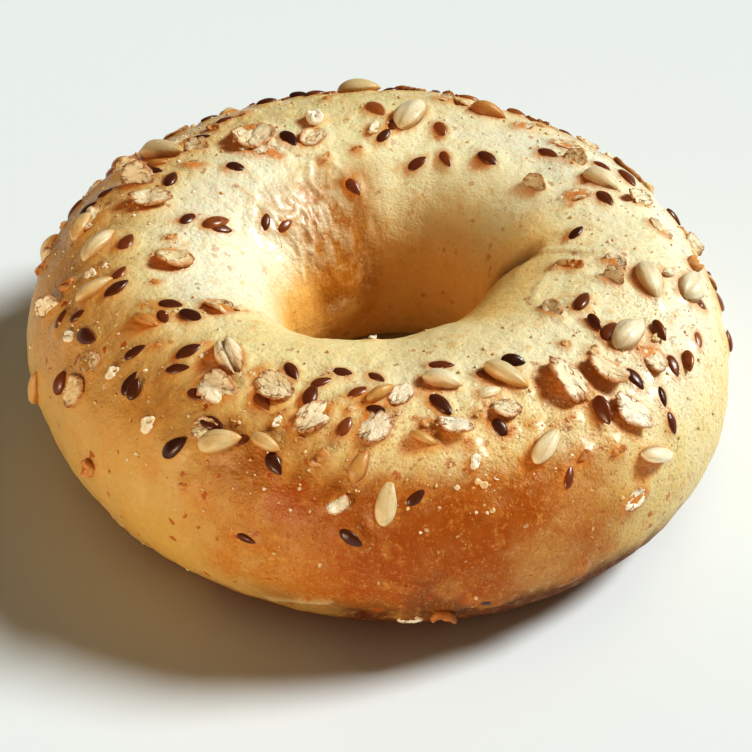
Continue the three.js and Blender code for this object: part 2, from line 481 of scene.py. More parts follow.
# %% Rings between two tips
def closed_by_rings(name, rings, marks=(), smooth=True):
    """A closed mesh over rings of points, of which the first and last are one point each. A point
    is a place and then its value of each mark, which the mesh keeps as an attribute."""
    points, faces, starts = [], [], []
    for ring in rings:
        starts.append((len(points), len(ring)))
        points.extend(ring)
    for (a, count_a), (b, count_b) in zip(starts, starts[1:]):
        for i in range(max(count_a, count_b)):
            j = (i + 1) % max(count_a, count_b)
            if count_a == 1:
                faces.append((a, b + i, b + j))
            elif count_b == 1:
                faces.append((a + i, b, a + j))
            else:
                faces.append((a + i, b + i, b + j, a + j))
    mesh = bpy.data.meshes.new(name)
    mesh.from_pydata([point[0] for point in points], [], faces)
    for i, mark in enumerate(marks):
        values = [point[i + 1] for point in points]
        mesh.attributes.new(mark, "FLOAT", "POINT").data.foreach_set("value", values)
    if signed_volume(mesh) < 0:
        mesh.flip_normals()
    mesh.polygons.foreach_set("use_smooth", [smooth] * len(mesh.polygons))
    return mesh


def signed_volume(mesh):
    """Positive when the faces point outwards."""
    total = 0.0
    for face in mesh.polygons:
        a, *rest = [mesh.vertices[i].co for i in face.vertices]
        total += sum(a.dot(b.cross(c)) for b, c in zip(rest, rest[1:]))
    return total


def wobble(place, size, seed):
    """Smooth noise from -1 to 1 in blobs of that size, its own for each seed."""
    return noise.noise(Vector(place) / size + Vector((seed * 7.31, seed * 3.17, seed * 5.93)))


def add_forms(kind, count, make):
    """Puts forms 0 to count - 1 of a kind on the shelf."""
    for i in range(count):
        name = f"{kind}_{i}"
        form_shelf.objects.link(bpy.data.objects.new(name, make(name, i)))
    made = [form_shelf.objects[f"{kind}_{i}"].data for i in range(count)]
    print(kind, "forms:", [len(mesh.polygons) for mesh in made], "faces")


form_shelf = bpy.data.collections.new("forms")

# %% [markdown]
# A flax seed is a flat drop: broad and round at one end, pointed at the other, with a lens section.
# A sunflower kernel is a longer, thicker drop whose broad face is slightly flat and whose pointed
# end is nearly a beak, with faint furrows along it. Marks go with each for the finish later: `rim`,
# 0 along the middle and 1 at the sharp rim, `tip`, 0 at the broad end and 1 at the point, and the
# place along and across the seed, so that streaks and cracks can run with it.


# %% Drops
MARKS = ("rim", "tip", "along", "across")


def drop_outline(half_width, belly, point):
    """Half width along a drop whose widest place is at `belly` of its length."""

    def outline(share):
        if share < belly:
            return half_width * math.sqrt(max(0.0, 1 - ((belly - share) / belly) ** 2))
        past = (share - belly) / (1 - belly)
        return half_width * max(0.0, 1 - past**1.8) ** point

    return outline


def drop_form(name, seed, outline, top, bottom, rings, sides, furrow=0.0, bend=0.0, groove=0.0):
    """A seed one unit long in X. `outline` gives its half width, and `top` and `bottom` its
    half thicknesses, at a share from 0, its broad end, to 1, its pointed end."""
    rows = [[((-0.5, 0.0, bend * 0.25), 0.0, 0.0, -0.5, 0.0)]]
    for i in range(1, rings):
        share = (1 - math.cos(math.pi * i / rings)) / 2
        x = share - 0.5
        row = []
        for k in range(sides):
            c, s = math.cos(2 * math.pi * k / sides), math.sin(2 * math.pi * k / sides)
            y = outline(share) * math.copysign(abs(c) ** 0.8, c)
            z = (top(share) if s > 0 else bottom(share)) * s
            z += furrow * outline(share) * wobble((x * 0.5, y * 5, s), 0.5, seed)
            z -= groove * max(0.0, s) * math.exp(-((y / 0.045) ** 2))
            y += 0.09 * outline(share) * wobble((x * 1.5, c * 0.5, s * 0.5), 0.5, seed + 40)
            row.append(((x, y, z + bend * x * x), abs(c), share, x, y))
        rows.append(row)
    rows.append([((0.5, 0.0, bend * 0.25), 0.0, 1.0, 0.5, 0.0)])
    return closed_by_rings(name, rows, MARKS)


def flax_form(name, i):
    half_width = 0.5 * (0.52 + 0.06 * wobble((i, 0, 0), 0.7, 1))
    outline = drop_outline(half_width, 0.40 + 0.02 * i, 0.80)
    thick = drop_outline(0.14, 0.42, 0.8)
    return drop_form(name, i, outline, thick, thick, 10, 14, furrow=0.05)


def kernel_form(name, i):
    half_width = 0.5 * (0.47 + 0.10 * wobble((i, 0, 0), 0.7, 2))
    outline = drop_outline(half_width, 0.38 + 0.03 * (i % 3), 0.72)
    top, bottom = drop_outline(0.18 + 0.012 * i, 0.42, 0.65), drop_outline(0.11, 0.42, 0.65)
    return drop_form(name, i + 10, outline, top, bottom, 18, 24, furrow=0.26, bend=-0.12)


add_forms("flax", 5, flax_form)
add_forms("kernel", 6, kernel_form)

# %% [markdown]
# An oat flake is a grain that went between rollers: a thin plate in flat layers, furrowed and lined
# along its length, with a ragged rim that has split inwards, and never quite flat. It is a disc of
# rings from its middle over the top to the rim and back underneath. Its marks are `rim`, and `tip`
# for how deep a point lies in the furrow or in a line. A few grains slip past the rollers, and
# those are plump drops with a groove.


# %% Oat flakes
FLAKE_FORMS, GROAT_FORMS = 8, 2


def flake_form(name, i, rings=13, sides=52):
    shape = random.Random(i + 100)
    narrow = shape.uniform(0.29, 0.39)  # its half width, on a length of one
    cup, bow, twist = shape.uniform(-0.5, 0.8), shape.uniform(-0.35, 0.35), shape.uniform(-0.6, 0.6)
    splits = [  # where round the rim, how deep and how wide
        (shape.uniform(0, 2 * math.pi), shape.uniform(0.05, 0.22), shape.uniform(0.03, 0.08))
        for _ in range(5)
    ]
    furrow_side, furrow_depth = shape.uniform(-0.06, 0.06), shape.choice((0.0, 0.015, 0.035))

    def rim(angle):
        c, s = math.cos(angle), math.sin(angle)
        ragged = 1 + 0.12 * wobble((c, s, 0), 0.6, i) + 0.09 * wobble((c, s, 0), 0.15, i + 20)
        for towards, deep, wide in splits:
            gap = (angle - towards + math.pi) % (2 * math.pi) - math.pi
            ragged -= deep * math.exp(-((gap / wide) ** 2))
        return Vector((0.5 * c, narrow * s, 0)) * ragged

    def point(share, angle, above):
        flat = rim(angle) * share
        edge = max(0.0, 1 - share**6) ** 0.5
        furrow = math.exp(-(((flat.y - furrow_side) / 0.026) ** 2)) * (1 - share**4)
        lines = wobble((flat.x * 0.45, flat.y, 0), 0.17, i + 70)
        line = math.exp(-((lines / 0.09) ** 2)) * max(0.0, wobble(flat, 0.3, i + 80) + 0.35)
        layer = math.tanh(12 * wobble((flat.x * 0.7, flat.y * 1.3, 0), 0.36, i + 33))
        crumble = wobble(flat, 0.16, i + 60) + 0.6 * wobble(flat, 0.08, i + 61)
        thick = 0.062 + 0.018 * layer + 0.022 * crumble - furrow_depth * furrow - 0.030 * line
        bend = bow * flat.x**2 + cup * flat.y**2 + twist * flat.x * flat.y
        bend += 0.030 * wobble(flat, 0.3, i + 90) + 0.05 * share**4 * wobble(flat, 0.4, i + 15)
        height = (thick if above else -0.035) * edge + bend
        hollow = max(furrow * furrow_depth / 0.035, line) if above else 0.0
        return (flat.x, flat.y, height), share, hollow, flat.x, flat.y

    shares = [((k + 1) / rings) ** 0.75 for k in range(rings)]
    turns = [2 * math.pi * k / sides for k in range(sides)]
    rows = [[point(0.0, 0.0, True)]]
    rows += [[point(share, angle, True) for angle in turns] for share in shares]
    rows += [[point(share, angle, False) for angle in turns] for share in shares[-2::-2]]
    rows.append([point(0.0, 0.0, False)])
    return closed_by_rings(name, rows, MARKS)


def oat_form(name, i):
    if i < FLAKE_FORMS:
        return flake_form(name, i)
    outline = drop_outline(0.27, 0.46, 0.7)
    return drop_form(name, i + 60, outline, outline, outline, 18, 28, furrow=0.22, groove=0.13)


add_forms("oat", FLAKE_FORMS + GROAT_FORMS, oat_form)

# %% [markdown]
# Broken bits are what rubs off in the bag: pieces of flakes and kernels, bran, and flour crumbs. A
# bit is made like a flake, with fewer rings and three times as thick. A crumb is a lump of few
# faces, because there are hundreds of them.


# %% Bits and crumbs
def bit_form(name, i):
    mesh = flake_form(name, i + 30, rings=5, sides=18)
    for vertex in mesh.vertices:
        vertex.co.z *= 3.2
    return mesh


def crumb_form(name, i, rings=4, sides=5):
    rows = [[((-0.5, 0.0, 0.0),)]]
    for k in range(1, rings):
        x = k / rings - 0.5
        row = []
        for m in range(sides):
            c, s = math.cos(2 * math.pi * m / sides), math.sin(2 * math.pi * m / sides)
            size = 0.42 * math.sqrt(1 - (2 * x) ** 2) * (1 + 0.7 * wobble((x * 2, c, s), 0.8, i))
            row.append(((x, c * size, s * size * 0.8),))
        rows.append(row)
    rows.append([((0.5, 0.0, 0.0),)])
    return closed_by_rings(name, rows)


add_forms("bit", 7, bit_form)
add_forms("crumb", 4, crumb_form)

# %% [markdown]
# ## Where the toppings lie
#
# A baker's scatter can't be guessed by a rule, so on the side that the camera sees each topping is
# listed one by one. A line gives its middle in the camera's view, in pixels across and down, the turn of
# its long axis in degrees above the horizontal, and its length in pixels. A line may go on with its
# tone, from 0 for the palest of its kind to 1 for the most toasted, a roll about its long axis in
# degrees, for one that stands on its edge, a lift in millimetres, for one that rests on others or
# has sunk into the dough, and its form's number. None leaves a value to chance.

# %% Flax seeds in view
FLAX_IN_VIEW = [  # across, down, turn, length, and then tone, roll, lift and form
    (171, 306, -9, 26), (164, 319, -60, 15), (192, 318, -20, 24), (136, 353, 32, 26, 0.25),
    (88, 338, -20, 24), (62, 321, 62, 24), (80, 316, 38, 20), (117, 290, 35, 29),
    (120, 275, 50, 15), (189, 353, 28, 29, 0.35), (178, 370, 8, 25, 0.3), (131, 384, 60, 28),
    (138, 391, 70, 24, None, 20, 0.5), (64, 383, 73, 25, None, 30), (197, 396, -30, 18),
    (176, 447, 37, 31, 0.0), (213, 424, -18, 26), (242, 440, 15, 20), (275, 465, -60, 26, 0.1),
    (263, 404, -45, 25), (292, 373, -60, 20), (311, 396, 70, 25, 0.5), (322, 384, 20, 14),
    (344, 375, -15, 22, 0.4), (376, 379, -30, 17), (360, 393, 25, 20), (378, 411, -10, 22, 0.1),
    (345, 428, 60, 24), (441, 367, 0, 28, 0.7), (441, 406, -45, 30, 0.2),
    (416, 497, 42, 25, 0.3, 0, -0.1), (352, 538, -35, 29, 0.2, 0, -0.1),
    (247, 540, -22, 28, 0.3, 40, -1.15), (488, 601, 0, 28, 0.1, 0, -0.55),
    (513, 364, -8, 25, 0.0, 35), (487, 378, -20, 18, 0.9), (154, 173, -5, 20), (171, 181, 65, 17),
    (237, 169, -15, 21), (90, 210, 40, 24, 0.1), (108, 194, 35, 15), (127, 244, 55, 20),
    (189, 220, 35, 19), (216, 224, 12, 26, 0.9), (220, 230, -12, 24, 0.6), (265, 222, 80, 17, 0.6),
    (284, 226, 40, 10, 0.9), (226, 122, 20, 18), (202, 140, 12, 23), (267, 105, 25, 20),
    (289, 140, -45, 20, 0.0), (315, 92, 25, 11), (300, 98, 0, 12, 0.0), (377, 111, -40, 20, 1.0),
    (384, 137, 50, 16), (394, 125, 60, 16), (441, 131, -60, 17, 0.9), (418, 164, 33, 23, 0.6),
    (446, 160, -60, 11), (488, 160, -30, 22, 0.4), (353, 188, -50, 18, 0.8), (516, 115, -30, 20, 1.0),
    (548, 155, -25, 22, 0.6), (601, 168, -30, 19, 0.7), (626, 180, -50, 25, 0.7),
    (605, 200, -45, 20, 0.5), (576, 235, 45, 14, 0.1), (674, 217, -45, 16), (699, 305, -45, 14, 0.7),
    (582, 303, 60, 22, 0.6), (594, 326, -50, 20, None, 45), (609, 333, 55, 22, 0.7),
    (657, 335, -60, 24, 0.7, 60), (696, 341, -80, 20, 1.0), (672, 368, -70, 25, 0.7),
    (684, 364, -80, 22, 0.9, 55), (634, 380, -50, 27, 0.2), (600, 413, -65, 32, 0.6, 50),
    (661, 398, -75, 18, 0.1), (670, 423, -75, 24, 0.4), (728, 341, 90, 13), (568, 477, 80, 22, 0.8),
    (500, 430, -60, 20, 0.1), (574, 575, 30, 8, 0.4, 0, -0.4),
]

print(len(FLAX_IN_VIEW), "flax seeds")

# %% [markdown]
# Kernels are the largest and catch the eye first. Most lie on their broad face. The lift of a few at
# the front says that they rest on others, and a lift below zero that the dough swallowed their rim.

# %% Sunflower kernels in view
KERNELS_IN_VIEW = [
    (163, 154, 2, 46, 0.35), (158, 166, 15, 26, 0.95), (96, 291, 36, 45, 0.45),
    (100, 247, 45, 44, 0.3), (84, 228, 60, 34, 0.5), (359, 89, 0, 44, 0.4), (411, 116, 50, 36, 0.1),
    (488, 115, -15, 38, 0.8), (601, 183, -28, 40, 0.15), (649, 282, -65, 38, 0.15),
    (690, 288, 60, 34, 0.05), (627, 337, 45, 36, 0.05, 0, 0.3), (506, 379, -25, 50, 0.35, 0, 0.5),
    (490, 394, 15, 22, 0.1), (545, 447, 55, 42, 0.2, 0, 0.4), (653, 454, 0, 30, 0.0, 0, 0.5),
    (442, 384, -15, 42, 0.1, 0, 0.4), (387, 501, 80, 52, 0.3, 0, -0.7), (360, 466, 65, 36, 0.75),
    (424, 439, -25, 30, 0.7), (267, 444, -30, 33, 0.5, 0, 0.4), (221, 442, 10, 45, 0.4, 0, 0.2),
    (381, 396, 25, 30, 0.65, 0, 0.4), (38, 387, 88, 32, 0.6), (147, 322, -25, 26, 0.85),
    (566, 266, 10, 20, 0.6),
]

print(len(KERNELS_IN_VIEW), "sunflower kernels")

# %% [markdown]
# Oat flakes lie flat or stand on their edge, half sunk in the dough. The roll says which: one with a
# roll of 40 degrees or more shows its rim. Form 8 or 9 is a whole grain.

# %% Oat flakes in view
OATS_IN_VIEW = [
    (126, 170, 35, 33, 0.7), (140, 183, 0, 32, 0.1, 65), (151, 201, 0, 44, 0.6, 0, 0.3),
    (91, 222, 55, 33, 0.5), (173, 261, -8, 42, 0.8, -12, 0.1), (219, 308, -20, 34, 0.8),
    (230, 360, -65, 38, 0.5, 0, 0.2, 8), (217, 390, -28, 42, 0.3, 0, 0.3),
    (275, 389, -30, 42, 0.6, 0, 0.3), (314, 419, 35, 45, 0.4, 0, 0.2), (374, 428, 28, 42, 0.1),
    (401, 397, 40, 26, 0.0, 0, 0.3), (454, 428, -10, 38, 0.1, -15, 0.3),
    (505, 411, 0, 32, 0.5, -20, 0.3), (567, 383, -55, 56, 0.4, -14, 0.3),
    (605, 374, -40, 48, 0.6, -20, 0.4), (629, 413, -35, 46, 0.1, -14, 0.1),
    (653, 361, -70, 32, 0.3, 0, 0.1), (634, 498, 38, 34, 0.1), (75, 391, 50, 28, 0.9),
    (91, 363, 20, 22, 0.6), (53, 308, 38, 26, 0.2, 60), (252, 139, 60, 30, 0.6),
    (254, 151, 0, 30, 0.4), (274, 153, -30, 24, 0.3), (197, 150, 10, 26, 0.5, 55),
    (179, 143, 20, 26, 0.6), (240, 116, 20, 26, 0.7), (444, 100, -10, 22, 0.8),
    (464, 104, -10, 24, 0.8), (567, 147, -15, 35, 0.7), (575, 162, -20, 24, 0.6, 55),
    (590, 140, -30, 26, 0.7), (523, 128, 10, 15, 0.4), (577, 197, 20, 20, 0.6),
    (536, 186, -25, 22, 0.4, 40), (660, 231, -45, 30, 0.6), (690, 246, -40, 26, 0.6, 20),
    (616, 263, -30, 24, 0.4), (614, 279, -30, 22, 0.4, 45), (552, 312, -25, 24, 0.4, 35),
    (195, 166, 0, 22, 0.9), (410, 617, 0, 26, 0.1), (205, 430, -10, 30, 0.5, 0, 0.2),
    (312, 138, 30, 26, 0.5), (339, 505, 20, 27, 0.0, -20, 0.2), (637, 201, -10, 24, 0.4, 20),
]

print(len(OATS_IN_VIEW), "oat flakes and grains")

# %% [markdown]
# Only the larger bits are listed one by one. The dust between them is strewn by a tree further on.

# %% Broken bits in view
BITS_IN_VIEW = [
    (156, 284, 10, 14, 0.6), (68, 287, 20, 14, 0.6), (214, 131, 0, 14, 0.6), (320, 459, 30, 24, 0.55),
    (328, 100, 0, 11, 0.6), (358, 150, 0, 12, 0.7), (326, 159, 40, 11, 0.5), (172, 239, 0, 12, 0.5),
    (576, 267, -20, 16, 0.7), (692, 266, 30, 11, 0.6), (584, 456, 30, 14, 0.75), (540, 128, 0, 11, 0.5),
    (428, 424, -30, 16, 0.5), (443, 612, -10, 28, 0.75), (114, 374, 40, 17, 0.05),
    (71, 338, 0, 12, 0.05), (150, 425, 60, 20, 0.1), (92, 276, 0, 11, 0.1), (107, 268, 30, 11, 0.1),
    (278, 423, 50, 14, 0.0), (475, 462, 70, 17, 0.0), (497, 477, 0, 10, 0.1),
    (372, 341, 0, 9, 0.0), (374, 130, 60, 14, 0.1), (316, 121, 80, 16, 0.05), (561, 268, 0, 12, 0.1),
    (667, 275, 0, 12, 0.1), (490, 511, 10, 11, 0.2), (481, 483, -40, 16, 0.3), (512, 432, 20, 12, 0.6),
    (240, 312, 10, 12, 0.3), (160, 345, 0, 11, 0.5), (184, 487, 0, 10, 0.55),
    (91, 467, 0, 14, 0.6, 0, -0.7, 2),
    (570, 420, 10, 12, 0.6), (618, 450, 20, 14, 0.6), (655, 340, 20, 11, 0.3), (648, 188, -40, 14, 0.4),
    (566, 346, -20, 12, 0.5), (590, 398, 30, 11, 0.4), (338, 402, 0, 11, 0.3), (420, 395, 0, 10, 0.4),
    (252, 375, 20, 10, 0.3), (300, 440, 0, 11, 0.5), (560, 425, 0, 10, 0.3), (470, 445, 10, 10, 0.3),
    (205, 345, 20, 9, 0.1), (148, 305, 0, 9, 0.2), (262, 372, 40, 10, 0.5), (330, 372, 0, 9, 0.1),
    (352, 410, 30, 11, 0.3), (284, 412, 10, 10, 0.55), (236, 420, 0, 11, 0.4), (400, 415, 0, 9, 0.2),
    (478, 415, 20, 11, 0.45), (533, 425, 0, 10, 0.5), (592, 352, 30, 12, 0.35), (640, 350, 0, 10, 0.5),
]
IN_VIEW = {
    "flax": FLAX_IN_VIEW,
    "kernel": KERNELS_IN_VIEW,
    "oat": OATS_IN_VIEW,
    "bit": BITS_IN_VIEW,
}
print("laid by hand:", {kind: len(rows) for kind, rows in IN_VIEW.items()})

# %% [markdown]
# A ray from the camera through a topping's pixel meets the bare ring where the topping lies. Two
# more rays, through the ends of its long axis, meet the plane that touches the ring there, which
# gives its real heading and length. Each length is held to what such a seed can measure, because a
# pixel near the outline covers a long stretch of bread. A ray that passes just over the outline is
# for a topping that stands out past it, so the nearest bread carries that one. Where the bread
# turns away from the view, its plane is seen on edge, so the heading is read square to the view
# and the topping leans a little.

# %% Cast from the camera
KINDS = {  # lengths in mm; rest is how far the middle sits above the bread, as a share of length
    "flax": {"length": (3.8, 5.4), "rest": 0.07, "forms": 5},
    "kernel": {"length": (4.4, 9.6), "rest": 0.07, "forms": 6},
    "oat": {"length": (4.2, 9.6), "rest": 0.04, "forms": FLAKE_FORMS},
    "bit": {"length": (1.3, 4.6), "rest": 0.08, "forms": 7},
}
SCATTER_SEED = 38
OVERHANG_MM = 2.5  # a ray may pass this far above the bread and still place a topping
GRAZING = 0.30  # below this share of full view, a heading is read square to the view
LEAN = 0.45  # how far a topping there leans towards the view, as on a neighbour or a fold of skin
PROUD_MM = 0.3  # and how much higher it rests for that

bare_tree = BVHTree.FromObject(bare_ring, bpy.context.evaluated_depsgraph_get())
draw = random.Random(SCATTER_SEED)


def pixel_ray(x, y):
    """The direction from the camera through a pixel."""
    right = (x - CENTRE_PIXEL[0]) / FOCAL_PIXELS
    up = (CENTRE_PIXEL[1] - y) / FOCAL_PIXELS
    return (view_direction + Vector((1, 0, 0)) * right + view_up * up).normalized()


def bread_at(x, y):
    """The point of bare bread at a pixel, and the outward normal averaged around it."""
    ray = pixel_ray(x, y)
    place, _, _, _ = bare_tree.ray_cast(camera.location, ray)
    if place is None:
        steps = [camera.location + ray * (VIEW_DISTANCE + k * MM) for k in range(-80, 80)]
        nearest = [bare_tree.find_nearest(step) for step in steps]
        place, facing, _, gap = min(nearest, key=lambda found: found[3])
        return (place, facing) if gap < OVERHANG_MM * MM else (None, None)
    normal = Vector()
    for dx, dy in ((0, 0), (4, 0), (-4, 0), (0, 4), (0, -4)):
        near, facing, _, _ = bare_tree.ray_cast(camera.location, pixel_ray(x + dx, y + dy))
        if near is not None and (near - place).length < 4 * MM:
            normal += facing
    return place, normal.normalized()


def on_plane(x, y, place, normal):
    """Where a pixel's ray meets the plane through `place`."""
    ray = pixel_ray(x, y)
    return camera.location + ray * ((place - camera.location).dot(normal) / ray.dot(normal))


front_wall, _ = bread_at(CENTRE_PIXEL[0], 560)
print("the front wall, in mm:", [round(number / MM, 1) for number in front_wall])

# %% [markdown]
# What comes out for each topping is all that the laying needs: its middle, two axes, its size along
# three axes, its form and its tone. None is exactly flat or exactly in proportion, because a row of
# perfect copies is what gives a model away.


# %% One topping
ROLL_SPREAD, PITCH_SPREAD = 5, 3  # how far from flat toppings lie, in degrees
WIDTHS, THICKNESSES = (0.88, 1.12), (0.9, 1.15)  # of one topping, as shares of its form's
ON_EDGE = 0.20  # how much higher one rests that stands on its edge, as a share of its length
REACH = Vector((0.5, 0.42, 0.14))  # how far one reaches from its middle along its axes, as shares


def laid(kind, place, normal, heading, length, tone=None, roll=0.0, lift=0.0, form=None):
    """What the laying needs to know of one topping, which is kept above the table."""
    rules = KINDS[kind]
    heading = (heading - normal * heading.dot(normal)).normalized()
    up = Matrix.Rotation(math.radians(roll + draw.gauss(0, ROLL_SPREAD)), 3, heading) @ normal
    side = up.cross(heading)
    pitch = math.radians(draw.gauss(0, PITCH_SPREAD))
    heading = (Matrix.Rotation(pitch, 3, side) @ heading).normalized()
    up = heading.cross(side).normalized()
    size = Vector((length, length * draw.uniform(*WIDTHS), length * draw.uniform(*THICKNESSES)))
    rest = length * (rules["rest"] + ON_EDGE * abs(math.sin(math.radians(roll))))
    chance_form, chance_tone = draw.randrange(rules["forms"]), draw.random()
    middle = place + normal * (rest + lift * MM)
    lowest = sum(r * abs(axis.z) for r, axis in zip(REACH * length, (heading, side, up)))
    middle.z = max(middle.z, lowest)
    return {
        "place": middle,
        "up": up,
        "heading": heading,
        "size": size,
        "form": chance_form if form is None else form,
        "tone": chance_tone if tone is None else tone,
    }


print("length of each kind, in mm:", {kind: rules["length"] for kind, rules in KINDS.items()})

# %% [markdown]
# Now each row of the lists is cast onto the ring. The order of the kinds and of the rows matters,
# because the small differences are drawn from one seeded row of random numbers.


# %% Every topping in view
def cast_toppings(kind, rows):
    """Each row's topping, where the ray through its pixel meets the bread."""
    made = []
    for x, y, turned, length_px, *more in rows:
        place, normal = bread_at(x, y)
        if place is None:
            print("no bread under", kind, (x, y))
            continue
        dx, dy = math.cos(math.radians(turned)), math.sin(math.radians(turned))
        half = length_px / 2
        along = on_plane(x + dx * half, y - dy * half, place, normal)
        along -= on_plane(x - dx * half, y + dy * half, place, normal)
        if -normal.dot(view_direction) < GRAZING:
            along = (Vector((1, 0, 0)) * dx + view_up * dy) * length_px
            along *= (place - camera.location).length / FOCAL_PIXELS
            place = place + normal * PROUD_MM * MM
            normal = (normal - view_direction * LEAN).normalized()
        low, high = KINDS[kind]["length"]
        length = min(max(along.length, low * MM), high * MM)
        made.append(laid(kind, place, normal, along, length, *more))
    return made


toppings_laid = {kind: cast_toppings(kind, rows) for kind, rows in IN_VIEW.items()}
for kind, made in toppings_laid.items():
    lengths = [item["size"].x / MM for item in made]
    print(kind, len(made), "from", round(min(lengths), 1), "to", round(max(lengths), 1), "mm")

# %% [markdown]
# Where the skin came loose and baked again it lies in thin folds, most of them on the rim of the
# hole at the back left. Each is a line given through points of the view. The ring's tree
# measures how near the skin is to such a line and raises it there, so a fold is part of the skin.

# %% Folds of skin
FOLDS = [  # the pixels that each fold runs through
    ((262, 140), (272, 142), (283, 146), (300, 152), (312, 159), (309, 170), (311, 184), (320, 193)),
    ((300, 152), (318, 158), (335, 165), (346, 172)),
    ((258, 171), (257, 181), (254, 194), (252, 209), (250, 221), (248, 233), (246, 247)),
    ((263, 208), (270, 213), (280, 214), (291, 216), (300, 209)),
    ((267, 196), (277, 194), (284, 197), (291, 201), (300, 207), (306, 213)),
    ((306, 210), (309, 221), (309, 233), (313, 243), (311, 251)),
    ((296, 232), (298, 246), (300, 262), (303, 280)),
    ((540, 252), (550, 250), (564, 249), (586, 251), (609, 251)),
    ((110, 520), (118, 528), (128, 537), (138, 543), (146, 547)),
    ((268, 597), (290, 600), (312, 602), (330, 602)),
    ((232, 372), (243, 380), (250, 392)),
    ((560, 268), (548, 276), (540, 287), (535, 300)),
]
FOLD_STEPS = 5


def smooth_path(points):
    """More points on a smooth line through these."""
    ends = [points[0] * 2 - points[1]] + points + [points[-1] * 2 - points[-2]]
    path = []
    for a, b, c, d in zip(ends, ends[1:], ends[2:], ends[3:]):
        for k in range(FOLD_STEPS):
            t = k / FOLD_STEPS
            bent = (2 * a - 5 * b + 4 * c - d) * t**2 + (3 * b - a - 3 * c + d) * t**3
            path.append((2 * b + (c - a) * t + bent) / 2)
    return path + [points[-1]]


line_points, line_edges = [], []
for pixels in FOLDS:
    path = smooth_path([bread_at(x, y)[0] for x, y in pixels])
    first = len(line_points)
    line_points += [bare_tree.find_nearest(place)[0] for place in path]
    line_edges += [(first + k, first + k + 1) for k in range(len(path) - 1)]
fold_mesh = bpy.data.meshes.new("fold_lines")
fold_mesh.from_pydata(line_points, line_edges, [])
fold_lines = bpy.data.objects.new("fold_lines", fold_mesh)
bpy.context.scene.collection.objects.link(fold_lines)
print(len(FOLDS), "folds,", len(line_edges), "edges")

# %% [markdown]
# The far side gets the same cover by a rule: the largest first, each in the clearest of several
# places drawn on the band of shoulder that the toppings keep to. Small bits go on last, all round,
# because the bag always holds more dust than seeds.

# %% The far side, by rule
BAND = {"middle": 60, "half_width": 54}  # girths, in degrees
FAR_SIDE = {  # how many, and their usual length in mm
    "kernel": (8, 7.8),
    "oat": (17, 7.0),
    "flax": (36, 4.5),
    "bit": (24, 2.4),
}
TRIES = 30
KEPT = 7  # one point of the ring in so many is a place to try
EDGE_CHANCE = 0.8  # how seldom a place at the band's edges is taken
SIZES = (0.8, 1.15)  # of the kind's usual length


def is_in_view(place, normal):
    """True if the camera sees this place of the bare ring."""
    to_place = place - camera.location
    if to_place.dot(normal) > -0.02 * to_place.length:
        return False
    hit, _, _, _ = bare_tree.ray_cast(camera.location, to_place.normalized())
    return hit is not None and (hit - place).length < 2 * MM


band_places = []
upwards, outwards = (bare_ring.data.attributes[name].data for name in ("upward", "outward"))
for vertex in bare_ring.data.vertices:
    girth_here = math.atan2(upwards[vertex.index].value, outwards[vertex.index].value)
    off = abs(math.degrees(girth_here) - BAND["middle"]) / BAND["half_width"]
    if off < 1 and vertex.index % KEPT == 0 and not is_in_view(vertex.co, vertex.normal):
        band_places.append((vertex.co.copy(), vertex.normal.copy(), 1 - off))
taken = [item["place"] for made in toppings_laid.values() for item in made]
for kind, (count, length) in FAR_SIDE.items():
    for _ in range(count):
        tries = [draw.choice(band_places) for _ in range(TRIES)]
        tries = [t for t in tries if t[2] > draw.random() * EDGE_CHANCE] or tries
        best = max(tries, key=lambda t: min((t[0] - other).length for other in taken))
        heading = Vector([draw.gauss(0, 1) for _ in range(3)])
        size = length * MM * draw.uniform(*SIZES)
        toppings_laid[kind].append(laid(kind, best[0], best[1], heading, size))
        taken.append(best[0])
print({kind: len(made) for kind, made in toppings_laid.items()})

# %% [markdown]
# ## Laying them
#
# One Geometry Nodes tree lays every kind. It gets a mesh of loose points, one a topping, that carry
# their axes, size, form and tone, puts the right form on each, and turns the lot into real mesh.

# %% The laying tree
lay_inputs = {"Geometry": "Geometry", "Forms": "Collection", "Finish": "Material"}
lay_tree, bench, given = new_geometry_tree("lay toppings", lay_inputs)


def forms_from(bench, collection):
    """The forms of a shelf, to pick from by number."""
    inputs = {"Collection": collection, "Separate Children": True, "Reset Children": True}
    return bench.add("GeometryNodeCollectionInfo", {}, inputs)


def finish_tree(bench, instances, finish):
    """Ends a tree: real mesh in place of instances, and its material."""
    real = bench.add("GeometryNodeRealizeInstances", {}, {"Geometry": instances})
    real = bench.add("GeometryNodeSetMaterial", {}, {"Geometry": real, "Material": finish})
    bench.add("NodeGroupOutput", {}, {"Geometry": real})


turned = bench.add(
    "FunctionNodeAxesToRotation",
    {"primary_axis": "Z", "secondary_axis": "X"},
    {0: carried(bench, "up", "FLOAT_VECTOR"), 1: carried(bench, "heading", "FLOAT_VECTOR")},
)
laid_out = bench.add(
    "GeometryNodeInstanceOnPoints",
    {},
    {
        "Points": given["Geometry"],
        "Instance": forms_from(bench, given["Forms"]),
        "Pick Instance": True,
        "Instance Index": carried(bench, "form", "INT"),
        "Rotation": turned,
        "Scale": carried(bench, "size", "FLOAT_VECTOR"),
    },
)
finish_tree(bench, laid_out, given["Finish"])


